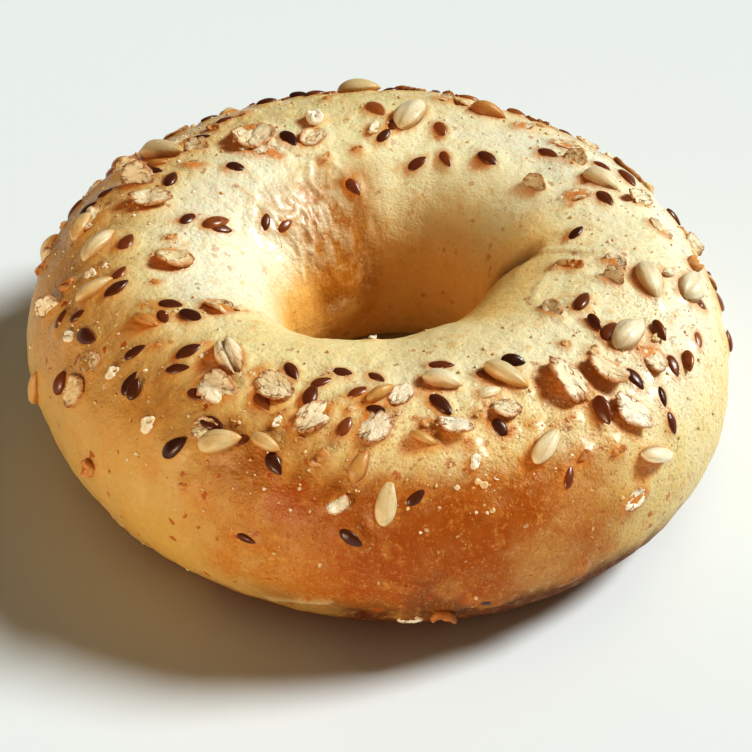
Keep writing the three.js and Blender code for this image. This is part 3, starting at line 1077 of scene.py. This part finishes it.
def points_mesh(name, items):
    """A mesh of loose points that carry what the laying tree reads."""
    mesh = bpy.data.meshes.new(name)
    mesh.from_pydata([item["place"] for item in items], [], [])
    for label in ("up", "heading", "size"):
        values = [number for item in items for number in item[label]]
        mesh.attributes.new(label, "FLOAT_VECTOR", "POINT").data.foreach_set("vector", values)
    mesh.attributes.new("form", "INT", "POINT").data.foreach_set("value", [i["form"] for i in items])
    mesh.attributes.new("tone", "FLOAT", "POINT").data.foreach_set("value", [i["tone"] for i in items])
    own = [(k * 0.618) % 1 for k in range(len(items))]
    mesh.attributes.new("own", "FLOAT", "POINT").data.foreach_set("value", own)
    return mesh


print("laying tree:", len(lay_tree.nodes), "nodes")

# %% [markdown]
# Crumbs are too many to lay by hand and too small to matter one by one, so a second tree strews
# them: it draws points on the skin, densest where the toppings are, and gives each a form, a turn
# and a size by chance. Most are the smallest, because a random number is squared.

# %% The strewing tree
CRUMBS = {"Per Square Metre": 120000.0, "Smallest": 0.25 * MM, "Largest": 0.95 * MM, "Seed": 5}
DARKEST_CRUMB = 0.55  # on the bits' scale of tones
strew_inputs = {"Geometry": "Geometry", "Forms": "Collection", "Finish": "Material"}
strew_inputs |= {"Per Square Metre": "Float", "Smallest": "Float", "Largest": "Float", "Seed": "Int"}
strew_tree, bench, given = new_geometry_tree("strew crumbs", strew_inputs)


def chance(bench, low, high, seed, data_type="FLOAT"):
    """A random value for each point or instance."""
    node = bench.add("FunctionNodeRandomValue", {"data_type": data_type})
    for name, value in (("Min", low), ("Max", high), ("Seed", seed)):
        bench.plug(next(s for s in node.node.inputs if s.name == name and s.enabled), value)
    return Wire(bench, node.node, next(s for s in node.node.outputs if s.enabled))


middle = math.radians(BAND["middle"])
in_band = carried(bench, "outward") * math.cos(middle) + carried(bench, "upward") * math.sin(middle)
density = in_band.ramp(0.60, 0.95, 0.02, 1.0) * carried(bench, "upward").ramp(-0.75, -0.5)
drawn = bench.add(
    "GeometryNodeDistributePointsOnFaces",
    {"distribute_method": "RANDOM"},
    {"Mesh": given["Geometry"], "Density": density * given["Per Square Metre"], "Seed": given["Seed"]},
    "Points",
)
any_turn = chance(bench, (0.0, 0.0, 0.0), (2 * math.pi,) * 3, given["Seed"] + 1, "FLOAT_VECTOR")
luck = chance(bench, 0.0, 1.0, given["Seed"] + 2)
strewn = bench.add(
    "GeometryNodeInstanceOnPoints",
    {},
    {
        "Points": drawn,
        "Instance": forms_from(bench, given["Forms"]),
        "Pick Instance": True,
        "Rotation": bench.add("FunctionNodeEulerToRotation", {}, {0: any_turn}),
        "Scale": given["Smallest"] + luck * luck * luck * (given["Largest"] - given["Smallest"]),
    },
)
tone = chance(bench, 0.0, DARKEST_CRUMB, given["Seed"] + 3)
finish_tree(bench, with_fields(bench, strewn, {"tone": tone}, "INSTANCE"), given["Finish"])
print("strewing tree:", len(strew_tree.nodes), "nodes")

# %% [markdown]
# ## Finishes
#
# The skin of a bagel is unevenly brown. It is cream on top, where steam kept it pale, and golden to
# orange brown low on the wall, where it stood near the hot tray. Deep in the hole it is orange, partly
# its own brown and partly painted light bounced about inside the hole, and some zones carry painted
# sunlight and others painted shade. Close to, it is speckled with bran and dotted with tiny blisters
# from the boil. Each of these is a mask in the material, and each mask mixes one more colour in. The
# masks read where a point lies round the ring from its place, and its girth from what the ring's tree
# stored. The tree stored the sine and cosine, because an angle would jump from 360 degrees to 0
# within one face and draw a line there.

# %% Colours
CREAM = (0.86, 0.79, 0.50)
PALE_CREAM = (0.89, 0.88, 0.74)
PALE_SKIN = (0.92, 0.86, 0.64)
IVORY = (0.95, 0.92, 0.66)
STRAW = (0.97, 0.84, 0.47)
SAND = (0.82, 0.70, 0.40)
BUTTER = (0.78, 0.62, 0.30)
DULL_GOLD = (0.66, 0.45, 0.19)
GOLD = (0.60, 0.40, 0.115)
HONEY = (0.60, 0.32, 0.10)
WARM_TAN = (0.76, 0.46, 0.15)
APRICOT = (0.92, 0.60, 0.16)
AMBER = (0.90, 0.54, 0.17)
CARAMEL = (0.56, 0.26, 0.045)
SHADE_ORANGE = (0.72, 0.23, 0.022)
ORANGE = (0.50, 0.190, 0.016)
TOASTED_RIM_AND_SHADE = (0.50, 0.17, 0.02)
TOAST = (0.42, 0.110, 0.006)
TRAY_BROWN = (0.30, 0.10, 0.022)
TOAST_AND_SHADE_BROWN = (0.12, 0.024, 0.004)
BRAN = (0.46, 0.115, 0.014)
DARK_BRAN = (0.09, 0.025, 0.008)
print("palette ready")

# %% [markdown]
# A few helpers serve all the finishes. `new_finish` starts a material. `painted` works as a baker's
# brush does: coat after coat, each a mask and a colour, goes over what is there, and the mask says
# where it takes. A colour ramp would be shorter, but it follows one value alone, and here a dozen
# causes brown the skin. Materials read the place in the object, so they don't slide when it moves.


# %% Helpers for finishes
def new_finish(name, roughness=0.5, **constants):
    """A material, its bench and its Principled shader, with constant sockets set directly."""
    material = bpy.data.materials.new(name)
    material.use_nodes = True
    tree = material.node_tree
    shader = tree.nodes["Principled BSDF"]
    shader.inputs["Roughness"].default_value = roughness
    for label, value in constants.items():
        shader.inputs[label.replace("_", " ")].default_value = value
    return material, Bench(tree), shader


def mixed(bench, mask, under, over):
    """The colour `over` laid on `under` where the mask is 1."""
    settings = {"data_type": "RGBA", "blend_type": "MIX", "clamp_factor": True}
    node = bench.add("ShaderNodeMix", settings).node
    for key, value in (("Factor_Float", mask), ("A_Color", under), ("B_Color", over)):
        socket = next(s for s in node.inputs if s.identifier == key)
        bench.plug(socket, (*value, 1.0) if isinstance(value, tuple) else value)
    return Wire(bench, node, next(s for s in node.outputs if s.identifier == "Result_Color"))


def painted(bench, colour, coats):
    """The colour with coats laid on it in turn, each a mask and its colour."""
    for mask, over in coats:
        colour = mixed(bench, mask, colour, over)
    return colour


def toned(bench, stops, tone):
    """The colour between the stops at that tone, from 0 for the first to 1 for the last."""
    return bench.add("ShaderNodeValToRGB", {"stops": stops}, {0: tone})


def place_in_object(bench):
    return bench.add("ShaderNodeTexCoord", {}, {}, "Object")


def attribute(bench, name):
    return bench.add("ShaderNodeAttribute", {"attribute_name": name}, {}, "Fac")


def streaks_along(bench, across, along, detail=2.0):
    """Noise that runs with a topping, so many streaks across it and so many along it."""
    place = {"X": attribute(bench, "along") * along, "Y": attribute(bench, "across") * across}
    place["Z"] = attribute(bench, "own") * 60.0
    return noise_at(bench, bench.add("ShaderNodeCombineXYZ", {}, place), 1.0, detail)


def add_bump(bench, shader, relief):
    """Relief in millimetres that the light sees and the mesh doesn't have."""
    bump = bench.add("ShaderNodeBump", {}, {"Strength": 1.0, "Distance": MM, "Height": relief})
    bench.plug(shader.inputs["Normal"], bump)


print("helpers for finishes ready")

# %% [markdown]
# The skin lets a little light in and out again, so it gets some subsurface scatter, and where steam
# made it leathery it has a coat of gloss. Five sizes of noise are made once and shared by all that
# follows, because noise is what costs most when the light is worked out.

# %% Skin: what its masks read
skin, bench, shader = new_finish("crust", Subsurface_Weight=0.28, Specular_IOR_Level=0.28)
shader.inputs["Subsurface Radius"].default_value = (1.0, 0.52, 0.26)
shader.inputs["Subsurface Scale"].default_value = 1.4 * MM
shader.inputs["Coat Roughness"].default_value = 0.24
here = place_in_object(bench)
upward, outward = attribute(bench, "upward"), attribute(bench, "outward")
girth = math.pi / 2 - outward.math("ARCTAN2", outward, upward)
split = bench.add("ShaderNodeSeparateXYZ", {}, {0: here})
east, north = split.output("X"), split.output("Y")
from_axis = (east * east + north * north) ** 0.5
wrinkle, crease = attribute(bench, "wrinkle"), attribute(bench, "crease")
beside, browned = attribute(bench, "beside_topping"), attribute(bench, "browned")
fold = attribute(bench, "fold")
coarse = noise_at(bench, here, 14 * MM)
middling = noise_at(bench, here, 5 * MM)
small = noise_at(bench, here, 1.9 * MM, 2.0, 0.6)
fine = noise_at(bench, here, 0.8 * MM, 2.0, 0.65)
grain = noise_at(bench, here, 0.4 * MM, 2.0)
print(len(bench.tree.nodes), "nodes to read from")

# %% [markdown]
# Each zone is a stretch of azimuth times a stretch of girth, both with soft ends, and it is named for
# what it is on the bagel, such as the wall, the rim of the hole or the edge that stood on the tray.
# A painted image could hold the zones as well, but it would need the ring unwrapped, and it would
# blur close to.


# %% Skin: its zones
def towards(degrees, full, none):
    """1 within `full` degrees of that azimuth, falling to 0 at `none` degrees from it."""
    off = (east * math.cos(math.radians(degrees)) + north * math.sin(math.radians(degrees))) / from_axis
    return off.ramp(math.cos(math.radians(none)), math.cos(math.radians(full)))


def at_girth(degrees, full, none):
    """1 within `full` degrees of that girth, falling to 0 at `none` degrees from it."""
    off = (girth - math.radians(degrees)).cos()
    return off.ramp(math.cos(math.radians(none)), math.cos(math.radians(full)))


def below_girth(none, full):
    """0 above the girth `none`, 1 below the girth `full`, both in degrees."""
    return (girth + middling * 0.10).ramp(math.radians(none), math.radians(full))


# painted sunlight: the right end, which faces the window, is painted paler and less brown
painted_sunlit_end = towards(0, 22, 62)
far_wall = towards(95, 45, 75) * at_girth(4, 26, 58)
left_side = towards(200, 35, 75)
shoulder = (girth + painted_sunlit_end * 0.8 - left_side * 0.2).ramp(math.radians(98), math.radians(58))
wall = girth + painted_sunlit_end * 0.9 - left_side * 0.40 + middling * 0.08
wall = wall.ramp(math.radians(58), math.radians(22))
left_shoulder = towards(178, 34, 66) * at_girth(48, 16, 40)
ruddy_band = towards(274, 18, 42) * at_girth(12, 20, 42)
toast_patch = towards(282, 13, 30) * at_girth(12, 18, 38)
# the foot of the wall: browned on the tray, and a painted contact shadow where it meets the table
base_edge = towards(288, 20, 44) * below_girth(-9, -24)
base_edge = base_edge.at_least(towards(310, 20, 150) * below_girth(-24, -40))
underside = below_girth(-38, -62)
inner_rim = towards(295, 55, 100) * at_girth(120, 12, 32)
# painted light: the upper wall of the hole at the back right faces away from the window and is painted
# paler, as if lit
far_rim = towards(35, 40, 75) * at_girth(130, 22, 42)
near_rim = towards(300, 60, 100) * at_girth(92, 20, 42)
# painted shade: deep orange low on the hole's wall at the back left
shaded_hole_wall = towards(118, 16, 34) * at_girth(150, 22, 40)
seam_side = towards(348, 24, 44) * at_girth(138, 16, 36)
# deep in the hole: partly the skin's own orange brown, partly painted orange light bounced about inside the
# hole
in_hole = (girth - left_side * 0.12).ramp(math.radians(126), math.radians(164)) * (1.0 - underside)
# painted sunlight: paler on the right shoulder and on the left slope into the hole, which face the window
painted_sunlight = towards(350, 60, 105) * at_girth(72, 35, 60)
painted_sunlight = painted_sunlight.at_least(towards(168, 30, 65) * at_girth(122, 22, 42))

on_wall = wall.at_most(1.0)
print(len(bench.tree.nodes), "nodes for the zones")

# %% [markdown]
# The coats go on from the widest to the most local: first cream clouded with butter, then the pale
# and golden zones, some of them painted light from the window, the brown ones and the painted shade
# in the hole, the tray's mark underneath with a painted contact shadow at the foot of the wall, and
# last what belongs to the wrinkles and to the toppings' sides, where shade is painted too. Noise in a
# mask keeps its edge from looking drawn.

# %% Skin: its coats
coats = [
    (coarse.ramp(0.0, 0.9) * 0.35 + middling.ramp(0.1, 0.9) * 0.30, BUTTER),
    # painted sunlight
    (painted_sunlight * 0.7, PALE_CREAM),
    (shoulder * (0.75 + middling * 0.4) + inner_rim * 0.55, BUTTER),
    # painted light on the hole's upper wall at the back right
    (far_rim * 0.80, IVORY),
    (near_rim * 0.35, STRAW),
    (wall * (0.95 + middling * 0.2), GOLD),
    (wall * left_side * 0.7, DULL_GOLD),
    (left_shoulder * 0.50, HONEY),
    (seam_side * 0.55, APRICOT),
    # painted sunlight on the wall of the right end
    (painted_sunlit_end * wall * 0.80, SAND),
    (far_wall * (0.55 + middling * 0.5), CARAMEL),
    (ruddy_band * (0.80 + middling * 0.5), ORANGE),
    (toast_patch * (0.85 + middling * 0.4), TOAST),
    (in_hole * (1.0 - towards(45, 25, 60) * 0.35), AMBER),
    (shaded_hole_wall * (0.80 + small * 0.5), ORANGE),
    # the tray's browning and a painted contact shadow at the foot of the wall
    (base_edge * (0.95 + small * 0.3), TOAST_AND_SHADE_BROWN),
    (underside * (0.75 + coarse * 0.3), TRAY_BROWN),
    ((middling + small * 0.4).ramp(0.1, 0.9) * (on_wall * 0.30 + 0.14), ORANGE),
    (wrinkle * 0.5, PALE_SKIN),
    # round each topping, on all sides: partly a toasted rim of the skin, partly painted shade close round
    # the topping
    ((beside**0.4 - 0.15) * (0.14 + small * 0.4), WARM_TAN),
    (beside * beside * (0.22 + small * 0.4), TOASTED_RIM_AND_SHADE),
    # the toppings' painted shadows, in warm orange brown
    (browned * (0.78 + small * 0.2), SHADE_ORANGE),
]
colour = painted(bench, CREAM, coats)
print(len(coats), "coats on the skin")

# %% [markdown]
# Some places on the wall differ for no reason that a rule could give, such as a redder patch where
# the skin scorched, or a pale one where it was rubbed. One dark patch at the foot of the front wall is
# painted shade. Each is a middle, found like a topping's, a radius and a colour, and noise frays its
# edge.

# %% Skin: its own patches
PATCHES = [  # pixel across and down, radius in mm, strength, colour
    (288, 500, 5.0, 0.75, (0.46, 0.105, 0.012)),
    (262, 462, 4.0, 0.60, (0.44, 0.11, 0.015)),
    (235, 452, 8.0, 0.60, (0.44, 0.17, 0.03)),
    (150, 405, 7.0, 0.45, (0.50, 0.22, 0.05)),
    (300, 440, 7.0, 0.40, (0.50, 0.22, 0.05)),
    (573, 500, 6.5, 0.25, (0.80, 0.56, 0.24)),
    (317, 608, 6.0, 0.25, (0.84, 0.58, 0.22)),
    (200, 500, 4.0, 0.40, (0.60, 0.24, 0.04)),
    (150, 470, 3.0, 0.40, (0.62, 0.27, 0.05)),
    (225, 560, 3.5, 0.40, (0.60, 0.24, 0.04)),
    # painted shade low at the front, near the table
    (432, 598, 6.0, 0.40, TOAST_AND_SHADE_BROWN),
    (545, 563, 8.0, 0.55, (0.66, 0.42, 0.15)),
    (450, 590, 3.0, 0.40, (0.66, 0.36, 0.10)),
    (160, 548, 12.0, 0.55, (0.66, 0.42, 0.11)),
    (310, 565, 8.0, 0.30, (0.58, 0.23, 0.03)),
    (120, 440, 9.0, 0.30, (0.68, 0.40, 0.09)),
]
for x, y, radius, strength, patch_colour in PATCHES:
    middle, _ = bread_at(x, y)
    away = vector_math(bench, "DISTANCE", here, middle, "Value")
    frayed = away / (radius * MM) + small * 0.45 + middling * 0.22
    colour = mixed(bench, frayed.ramp(1.1, 0.35) * strength, colour, patch_colour)
print(len(PATCHES), "patches")

# %% [markdown]
# Bran shows as specks: cells are drawn at the specks' spacing, a few are picked by their random
# colour, and only the middle of a picked cell is painted. Shaking the cells' place with noise makes
# the specks ragged. Blisters from the boil are done alike, as pale caps that also stand up a little.
# Real bumps for these would take millions of faces, so the material gives them, with the leathery
# grain of the skin on the slope into the hole.


# %% Skin: specks and blisters
inputs = {"Vector": here, "Scale": 1 / (1.3 * MM), "Detail": 0.0}
tangle = bench.add("ShaderNodeTexNoise", {}, inputs, "Color")
tangle = vector_math(bench, "SUBTRACT", tangle, (0.5, 0.5, 0.5))
shaken = vector_math(bench, "ADD", here, vector_math(bench, "SCALE", tangle, 0.9 * MM))


def cells_at(place, size):
    """Cells of that size. The value is how far a point is from its cell's middle."""
    return bench.add("ShaderNodeTexVoronoi", {"feature": "F1"}, {"Vector": place, "Scale": 1 / size})


def specks(size, share, radius, ragged=0.25):
    """Ragged dots of that radius, as a share of the size, in that share of the cells."""
    cell = cells_at(shaken, size)
    picked = bench.add("ShaderNodeSeparateColor", {}, {0: cell.output("Color")}, "Red")
    own_radius = picked.ramp(1 - share, 1.0, 0.45, 1.0) * radius
    dot = (cell + fine * ragged * radius - own_radius).ramp(0.12 * radius, -0.25 * radius)
    return dot * picked.ramp(1 - share - 0.01, 1 - share)


bran = specks(2.7 * MM, 0.40, 0.26, 0.9)
dark = specks(2.1 * MM, 0.06, 0.11)
pale = specks(1.5 * MM, 0.22, 0.24, 0.8)
blistered = noise_at(bench, here, 9 * MM, 1.0).ramp(-0.2, 0.4)
front_right = towards(302, 32, 70) * at_girth(26, 30, 60)
glossy_slope = towards(170, 30, 75) * at_girth(128, 18, 45)
seeded = at_girth(70, 18, 48)
gloss = 0.02 + glossy_slope * 0.35 + painted_sunlight * 0.12 + seeded * 0.20 + front_right * 0.05
leather = cells_at(here, 0.9 * MM).ramp(0.66, 0.34) * (0.03 + glossy_slope * 0.90)
mottle = middling * 0.55 + small * 0.65
grit = small * 0.45 + fine * 0.65 + grain * 0.45

coats = [
    (mottle.ramp(0.05, 0.55) * (0.50 - on_wall * 0.22), (0.78, 0.46, 0.13)),
    (mottle.ramp(-0.05, -0.60) * (0.38 - on_wall * 0.26), (0.95, 0.89, 0.66)),
    (grit.ramp(0.02, 0.60) * (0.14 + front_right * 0.28), (0.80, 0.52, 0.19)),
    (grit.ramp(-0.02, -0.50) * (0.14 + front_right * 0.40), (0.40, 0.12, 0.012)),
    (pale * (blistered * 0.25 + front_right * 0.35 + seeded * 0.45), PALE_SKIN),
    (bran * (0.35 + on_wall * 0.45 + seeded * 0.15), BRAN),
    (dark * (0.25 + on_wall * 0.5), DARK_BRAN),
    # painted shade down the crease
    (crease * 0.6, TOAST_AND_SHADE_BROWN),
    (fold * 0.35, PALE_SKIN),
]
bench.plug(shader.inputs["Base Color"], painted(bench, colour, coats))

relief = small * (0.09 + seeded * 0.14) + fine * 0.05 + grit * front_right * 0.06 + grain * 0.02
relief = relief + leather * 0.07 + pale * 0.10
add_bump(bench, shader, relief)
roughness = 0.42 + fine * 0.12 + small * 0.08 + underside * 0.25 + base_edge * 0.3
bench.plug(shader.inputs["Roughness"], roughness)
bench.plug(shader.inputs["Coat Weight"], gloss)
print("skin:", len(bench.tree.nodes), "nodes")

# %% [markdown]
# Flax is dark and satin, each seed its own brown, a little lighter on its sharp rim. Its seeds carry
# a tone of their own, so one ramp of browns serves them all, and no seed needs its own material.

# %% Flax finish
FLAX_TONES = [
    (0.0, (0.055, 0.015, 0.007)),
    (0.4, (0.135, 0.036, 0.012)),
    (0.75, (0.22, 0.060, 0.017)),
    (1.0, (0.42, 0.145, 0.036)),
]
flax_finish, bench, shader = new_finish("flax", 0.31, Specular_IOR_Level=0.6)
here = place_in_object(bench)
streak = noise_at(bench, here, 0.8 * MM, 3.0)
rim = attribute(bench, "rim").ramp(0.55, 1.0)
tone = attribute(bench, "tone") * 0.85 + 0.05 + streak * 0.14 + rim * 0.22
bench.plug(shader.inputs["Base Color"], toned(bench, FLAX_TONES, tone))
bench.plug(shader.inputs["Roughness"], 0.31 + streak * 0.10)
add_bump(bench, shader, noise_at(bench, here, 0.35 * MM, 2.0) * 0.015)
print("flax:", len(bench.tree.nodes), "nodes")

# %% [markdown]
# Sunflower kernels are a grey cream that toasts at the tip, along the rim and in patches. The brown
# along the rim is also painted shade on the kernel's sides, which turn from the light. The oil in
# them lets light in a little way, so they get some scatter too. Faint streaks run along each, which
# noise can follow because the marks say where along and across its kernel a point lies.

# %% Sunflower finish
KERNEL_TONES = [
    (0.0, (0.84, 0.77, 0.58)),
    (0.35, (0.72, 0.59, 0.36)),
    (0.65, (0.64, 0.40, 0.15)),
    (1.0, (0.52, 0.21, 0.045)),
]
kernel_finish, bench, shader = new_finish("sunflower", 0.40, Subsurface_Weight=0.3)
shader.inputs["Subsurface Radius"].default_value = (1.0, 0.75, 0.50)
shader.inputs["Subsurface Scale"].default_value = 0.7 * MM
here = place_in_object(bench)
cloud = noise_at(bench, here, 2.2 * MM, 3.0)
streaks = streaks_along(bench, 11.0, 1.4, 3.0)
rim, tip = attribute(bench, "rim"), attribute(bench, "tip")
tone = attribute(bench, "tone") + cloud * 0.20 + rim.ramp(0.7, 1.0) * 0.22 + tip.ramp(0.75, 1.0) * 0.25
toasted = (cloud + noise_at(bench, here, 0.9 * MM, 2.0) * 0.6).ramp(0.25, 0.9)
coats = [
    (streaks.ramp(0.05, 0.7) * 0.55, (0.56, 0.33, 0.12)),
    (toasted * 0.5, (0.48, 0.19, 0.04)),
    # the rim: toasted, and painted shade on the kernel's sides
    (rim.ramp(0.82, 1.0) * 0.55, (0.42, 0.15, 0.03)),
]
colour = painted(bench, toned(bench, KERNEL_TONES, tone), coats)
bench.plug(shader.inputs["Base Color"], colour)
add_bump(bench, shader, noise_at(bench, here, 0.5 * MM, 3.0) * 0.04 + streaks * 0.07)
print("sunflower:", len(bench.tree.nodes), "nodes")

# %% [markdown]
# Oats are floury and matte, tan to orange brown at the rim, partly where the bran is and partly as
# painted shade on the flake's side faces, and brown down in their cracks. The large cracks are in the
# mesh. Finer ones are drawn where a noise that runs with the flake crosses its middle value, which
# makes thin winding lines.

# %% Oat finish
OAT_TONES = [
    (0.0, (0.92, 0.86, 0.70)),
    (0.5, (0.84, 0.69, 0.44)),
    (1.0, (0.70, 0.42, 0.15)),
]
oat_finish, bench, shader = new_finish("oat", 0.55)
here = place_in_object(bench)
flour = noise_at(bench, here, 0.7 * MM, 4.0, 0.65)
cloud = noise_at(bench, here, 2.4 * MM, 2.0)
rim, hollow = attribute(bench, "rim"), attribute(bench, "tip")
cracks = streaks_along(bench, 4.2, 2.4)
cracks = cracks.math("ABSOLUTE", cracks).ramp(0.06, 0.0) * (cloud + rim * 0.5).ramp(0.05, 0.45)
tone = attribute(bench, "tone") * 0.7 + cloud * 0.30 + flour * 0.22
coats = [
    # the rim: bran, and painted shade on the flake's side faces
    ((rim + flour * 0.2 + cloud * 0.15).ramp(0.70, 1.0) * 0.80, (0.52, 0.18, 0.03)),
    ((hollow + flour * 0.3).ramp(0.45, 1.0) * 0.60, (0.42, 0.20, 0.06)),
    (flour.ramp(0.15, 0.6) * 0.45, (0.94, 0.90, 0.76)),
    (cracks * 0.75, (0.28, 0.10, 0.02)),
]
colour = painted(bench, toned(bench, OAT_TONES, tone), coats)
bench.plug(shader.inputs["Base Color"], colour)
add_bump(bench, shader, flour * 0.10 + noise_at(bench, here, 0.3 * MM, 2.0) * 0.04 - cracks * 0.12)
print("oat:", len(bench.tree.nodes), "nodes")

# %% [markdown]
# The bits and crumbs are of everything that was in the bag, so their tones run from flour white over
# toasted oat to the dark brown of seed coats, and nothing more is needed at their size.

# %% Bit finish
BIT_TONES = [
    (0.0, (0.90, 0.84, 0.70)),
    (0.35, (0.80, 0.58, 0.30)),
    (0.65, (0.62, 0.26, 0.07)),
    (1.0, (0.20, 0.06, 0.02)),
]
bit_finish, bench, shader = new_finish("bits", 0.65)
here = place_in_object(bench)
tone = attribute(bench, "tone") + noise_at(bench, here, 0.8 * MM) * 0.12
bench.plug(shader.inputs["Base Color"], toned(bench, BIT_TONES, tone))
add_bump(bench, shader, noise_at(bench, here, 0.4 * MM, 3.0) * 0.06)
print("finishes:", [m.name for m in bpy.data.materials])

# %% [markdown]
# ## Putting it together
#
# The toppings are laid on the bare ring first. Then the ring's tree runs once more with the laid
# toppings as an input: it measures how near each point of skin is to a topping and lets the dough
# rise there, so that the seeds look baked in and not dropped on.

# %% Lay the toppings
PIECES = {
    "flax": ("flax_seeds", flax_finish, "flax"),
    "kernel": ("sunflower_kernels", kernel_finish, "sunflower"),
    "oat": ("oat_flakes", oat_finish, "oat"),
    "bit": ("broken_bits", bit_finish, "oat"),
}


def triangles(piece):
    return sum(len(face.vertices) - 2 for face in piece.data.polygons)


def shelf_of(kind):
    """A collection of one kind's forms, which the trees pick from in the order of their names."""
    shelf = bpy.data.collections.new(kind + " forms")
    for form in form_shelf.objects:
        if form.name.startswith(kind + "_"):
            shelf.objects.link(form)
    return shelf


tray = bpy.data.collections.new("laid toppings")
topping_pieces = []
for kind, (piece_name, finish, slot_name) in PIECES.items():
    points = points_mesh(kind + "_points", toppings_laid[kind])
    piece = made_by_tree(piece_name, lay_tree, {"Forms": shelf_of(kind), "Finish": finish}, points)
    tray.objects.link(piece)
    topping_pieces.append((piece, slot_name))
    print(piece_name, triangles(piece), "triangles")

# %% [markdown]
# The crumbs come last, because they cling to the risen skin. After that only the finished pieces
# stay in the scene: the bare ring, the lines of the folds and the shelves of forms are cleared away.

# %% Bake the dough round them, then strew the crumbs
crust = made_by_tree("crust", ring_tree, RING_SIZES | {"Toppings": tray, "Folds": fold_lines, "Skin": skin})
strew_values = CRUMBS | {"Forms": shelf_of("crumb"), "Finish": bit_finish}
crumbs = made_by_tree("crumbs", strew_tree, strew_values, crust.data)
topping_pieces.append((crumbs, "oat"))
whole = [crust] + [piece for piece, _ in topping_pieces]
print("crust", triangles(crust), "triangles, crumbs", triangles(crumbs))
print("lowest point", min(v.co.z for piece in whole for v in piece.data.vertices) / MM, "mm")

bpy.data.objects.remove(bare_ring)
bpy.data.objects.remove(fold_lines)
for form in list(form_shelf.objects):
    bpy.data.objects.remove(form)
for collection in list(bpy.data.collections):
    bpy.data.collections.remove(collection)

# %% [markdown]
# ## Floor and light
#
# The bagel lies on a pale matte table. It is a single face in the scene, far larger than the view, so
# that its edge is never seen, and it is stage: it isn't handed on with the bagel.

# %% Floor
FLOOR_SIDE = 3.0
floor_mesh = bpy.data.meshes.new("floor")
half = FLOOR_SIDE / 2
corners = [(-half, -half, 0), (half, -half, 0), (half, half, 0), (-half, half, 0)]
floor_mesh.from_pydata(corners, [], [(0, 1, 2, 3)])
floor = bpy.data.objects.new("floor", floor_mesh)
bpy.context.scene.collection.objects.link(floor)
floor_finish, bench, shader = new_finish("floor", 0.6)
shader.inputs["Base Color"].default_value = (0.92, 0.95, 0.98, 1.0)
floor_mesh.materials.append(floor_finish)
print("floor", FLOOR_SIDE, "m a side")

# %% [markdown]
# The light comes through a large window on the right and a little from behind, softly. A sun lamp
# with a wide angle gives such light evenly, which an area lamp would only do from far away. Warm
# walls fill in the rest, and a pale card at the front left throws some light back on the wall that
# faces it. Light also seeps through bread further than the skin's own scatter carries it, and comes
# out orange where the window doesn't reach. A dim glow stands for that. The card and the glow light
# the bread alone, so the shadow on the table stays as dark as it should be.


# %% Light
def aimed_light(name, kind, azimuth, height, distance, **settings):
    """A light at that azimuth and height in degrees, aimed at the bagel."""
    data = bpy.data.lights.new(name, kind)
    for label, value in settings.items():
        setattr(data, label, value)
    light = bpy.data.objects.new(name, data)
    to_light = direction(azimuth, height)
    light.location = VIEW_CENTRE + to_light * distance
    light.rotation_euler = to_light.to_track_quat("Z", "Y").to_euler()
    bpy.context.scene.collection.objects.link(light)


DAYLIGHT = (0.93, 0.985, 0.975)
WARM_FILL = (1.0, 0.85, 0.60)
THROUGH_BREAD = (1.0, 0.34, 0.07)
ROOM_STRENGTH = 0.14
aimed_light("window", "SUN", 16, 41, 1.0, energy=2.68, angle=math.radians(18), color=DAYLIGHT)
aimed_light("card", "AREA", 236, 2, 0.7, energy=2.8, size=0.25, color=WARM_FILL)
aimed_light("glow", "SUN", 225, 40, 1.0, energy=0.24, angle=math.radians(70), color=THROUGH_BREAD)

bread = bpy.data.collections.new("bread")
for piece in whole:
    bread.objects.link(piece)
for name in ("card", "glow"):
    bpy.data.objects[name].light_linking.receiver_collection = bread

world = bpy.data.worlds.new("room")
world.use_nodes = True
background = world.node_tree.nodes["Background"]
background.inputs["Color"].default_value = (*WARM_FILL, 1.0)
background.inputs["Strength"].default_value = ROOM_STRENGTH
bpy.context.scene.world = world
bpy.context.scene.view_settings.view_transform = "Standard"
bpy.context.scene.view_settings.look = "High Contrast"
print("lit")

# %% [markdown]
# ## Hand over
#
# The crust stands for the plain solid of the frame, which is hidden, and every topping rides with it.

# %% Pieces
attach(crust, "root")
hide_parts("bagel")
for piece, slot_name in topping_pieces:
    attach(piece, "root")
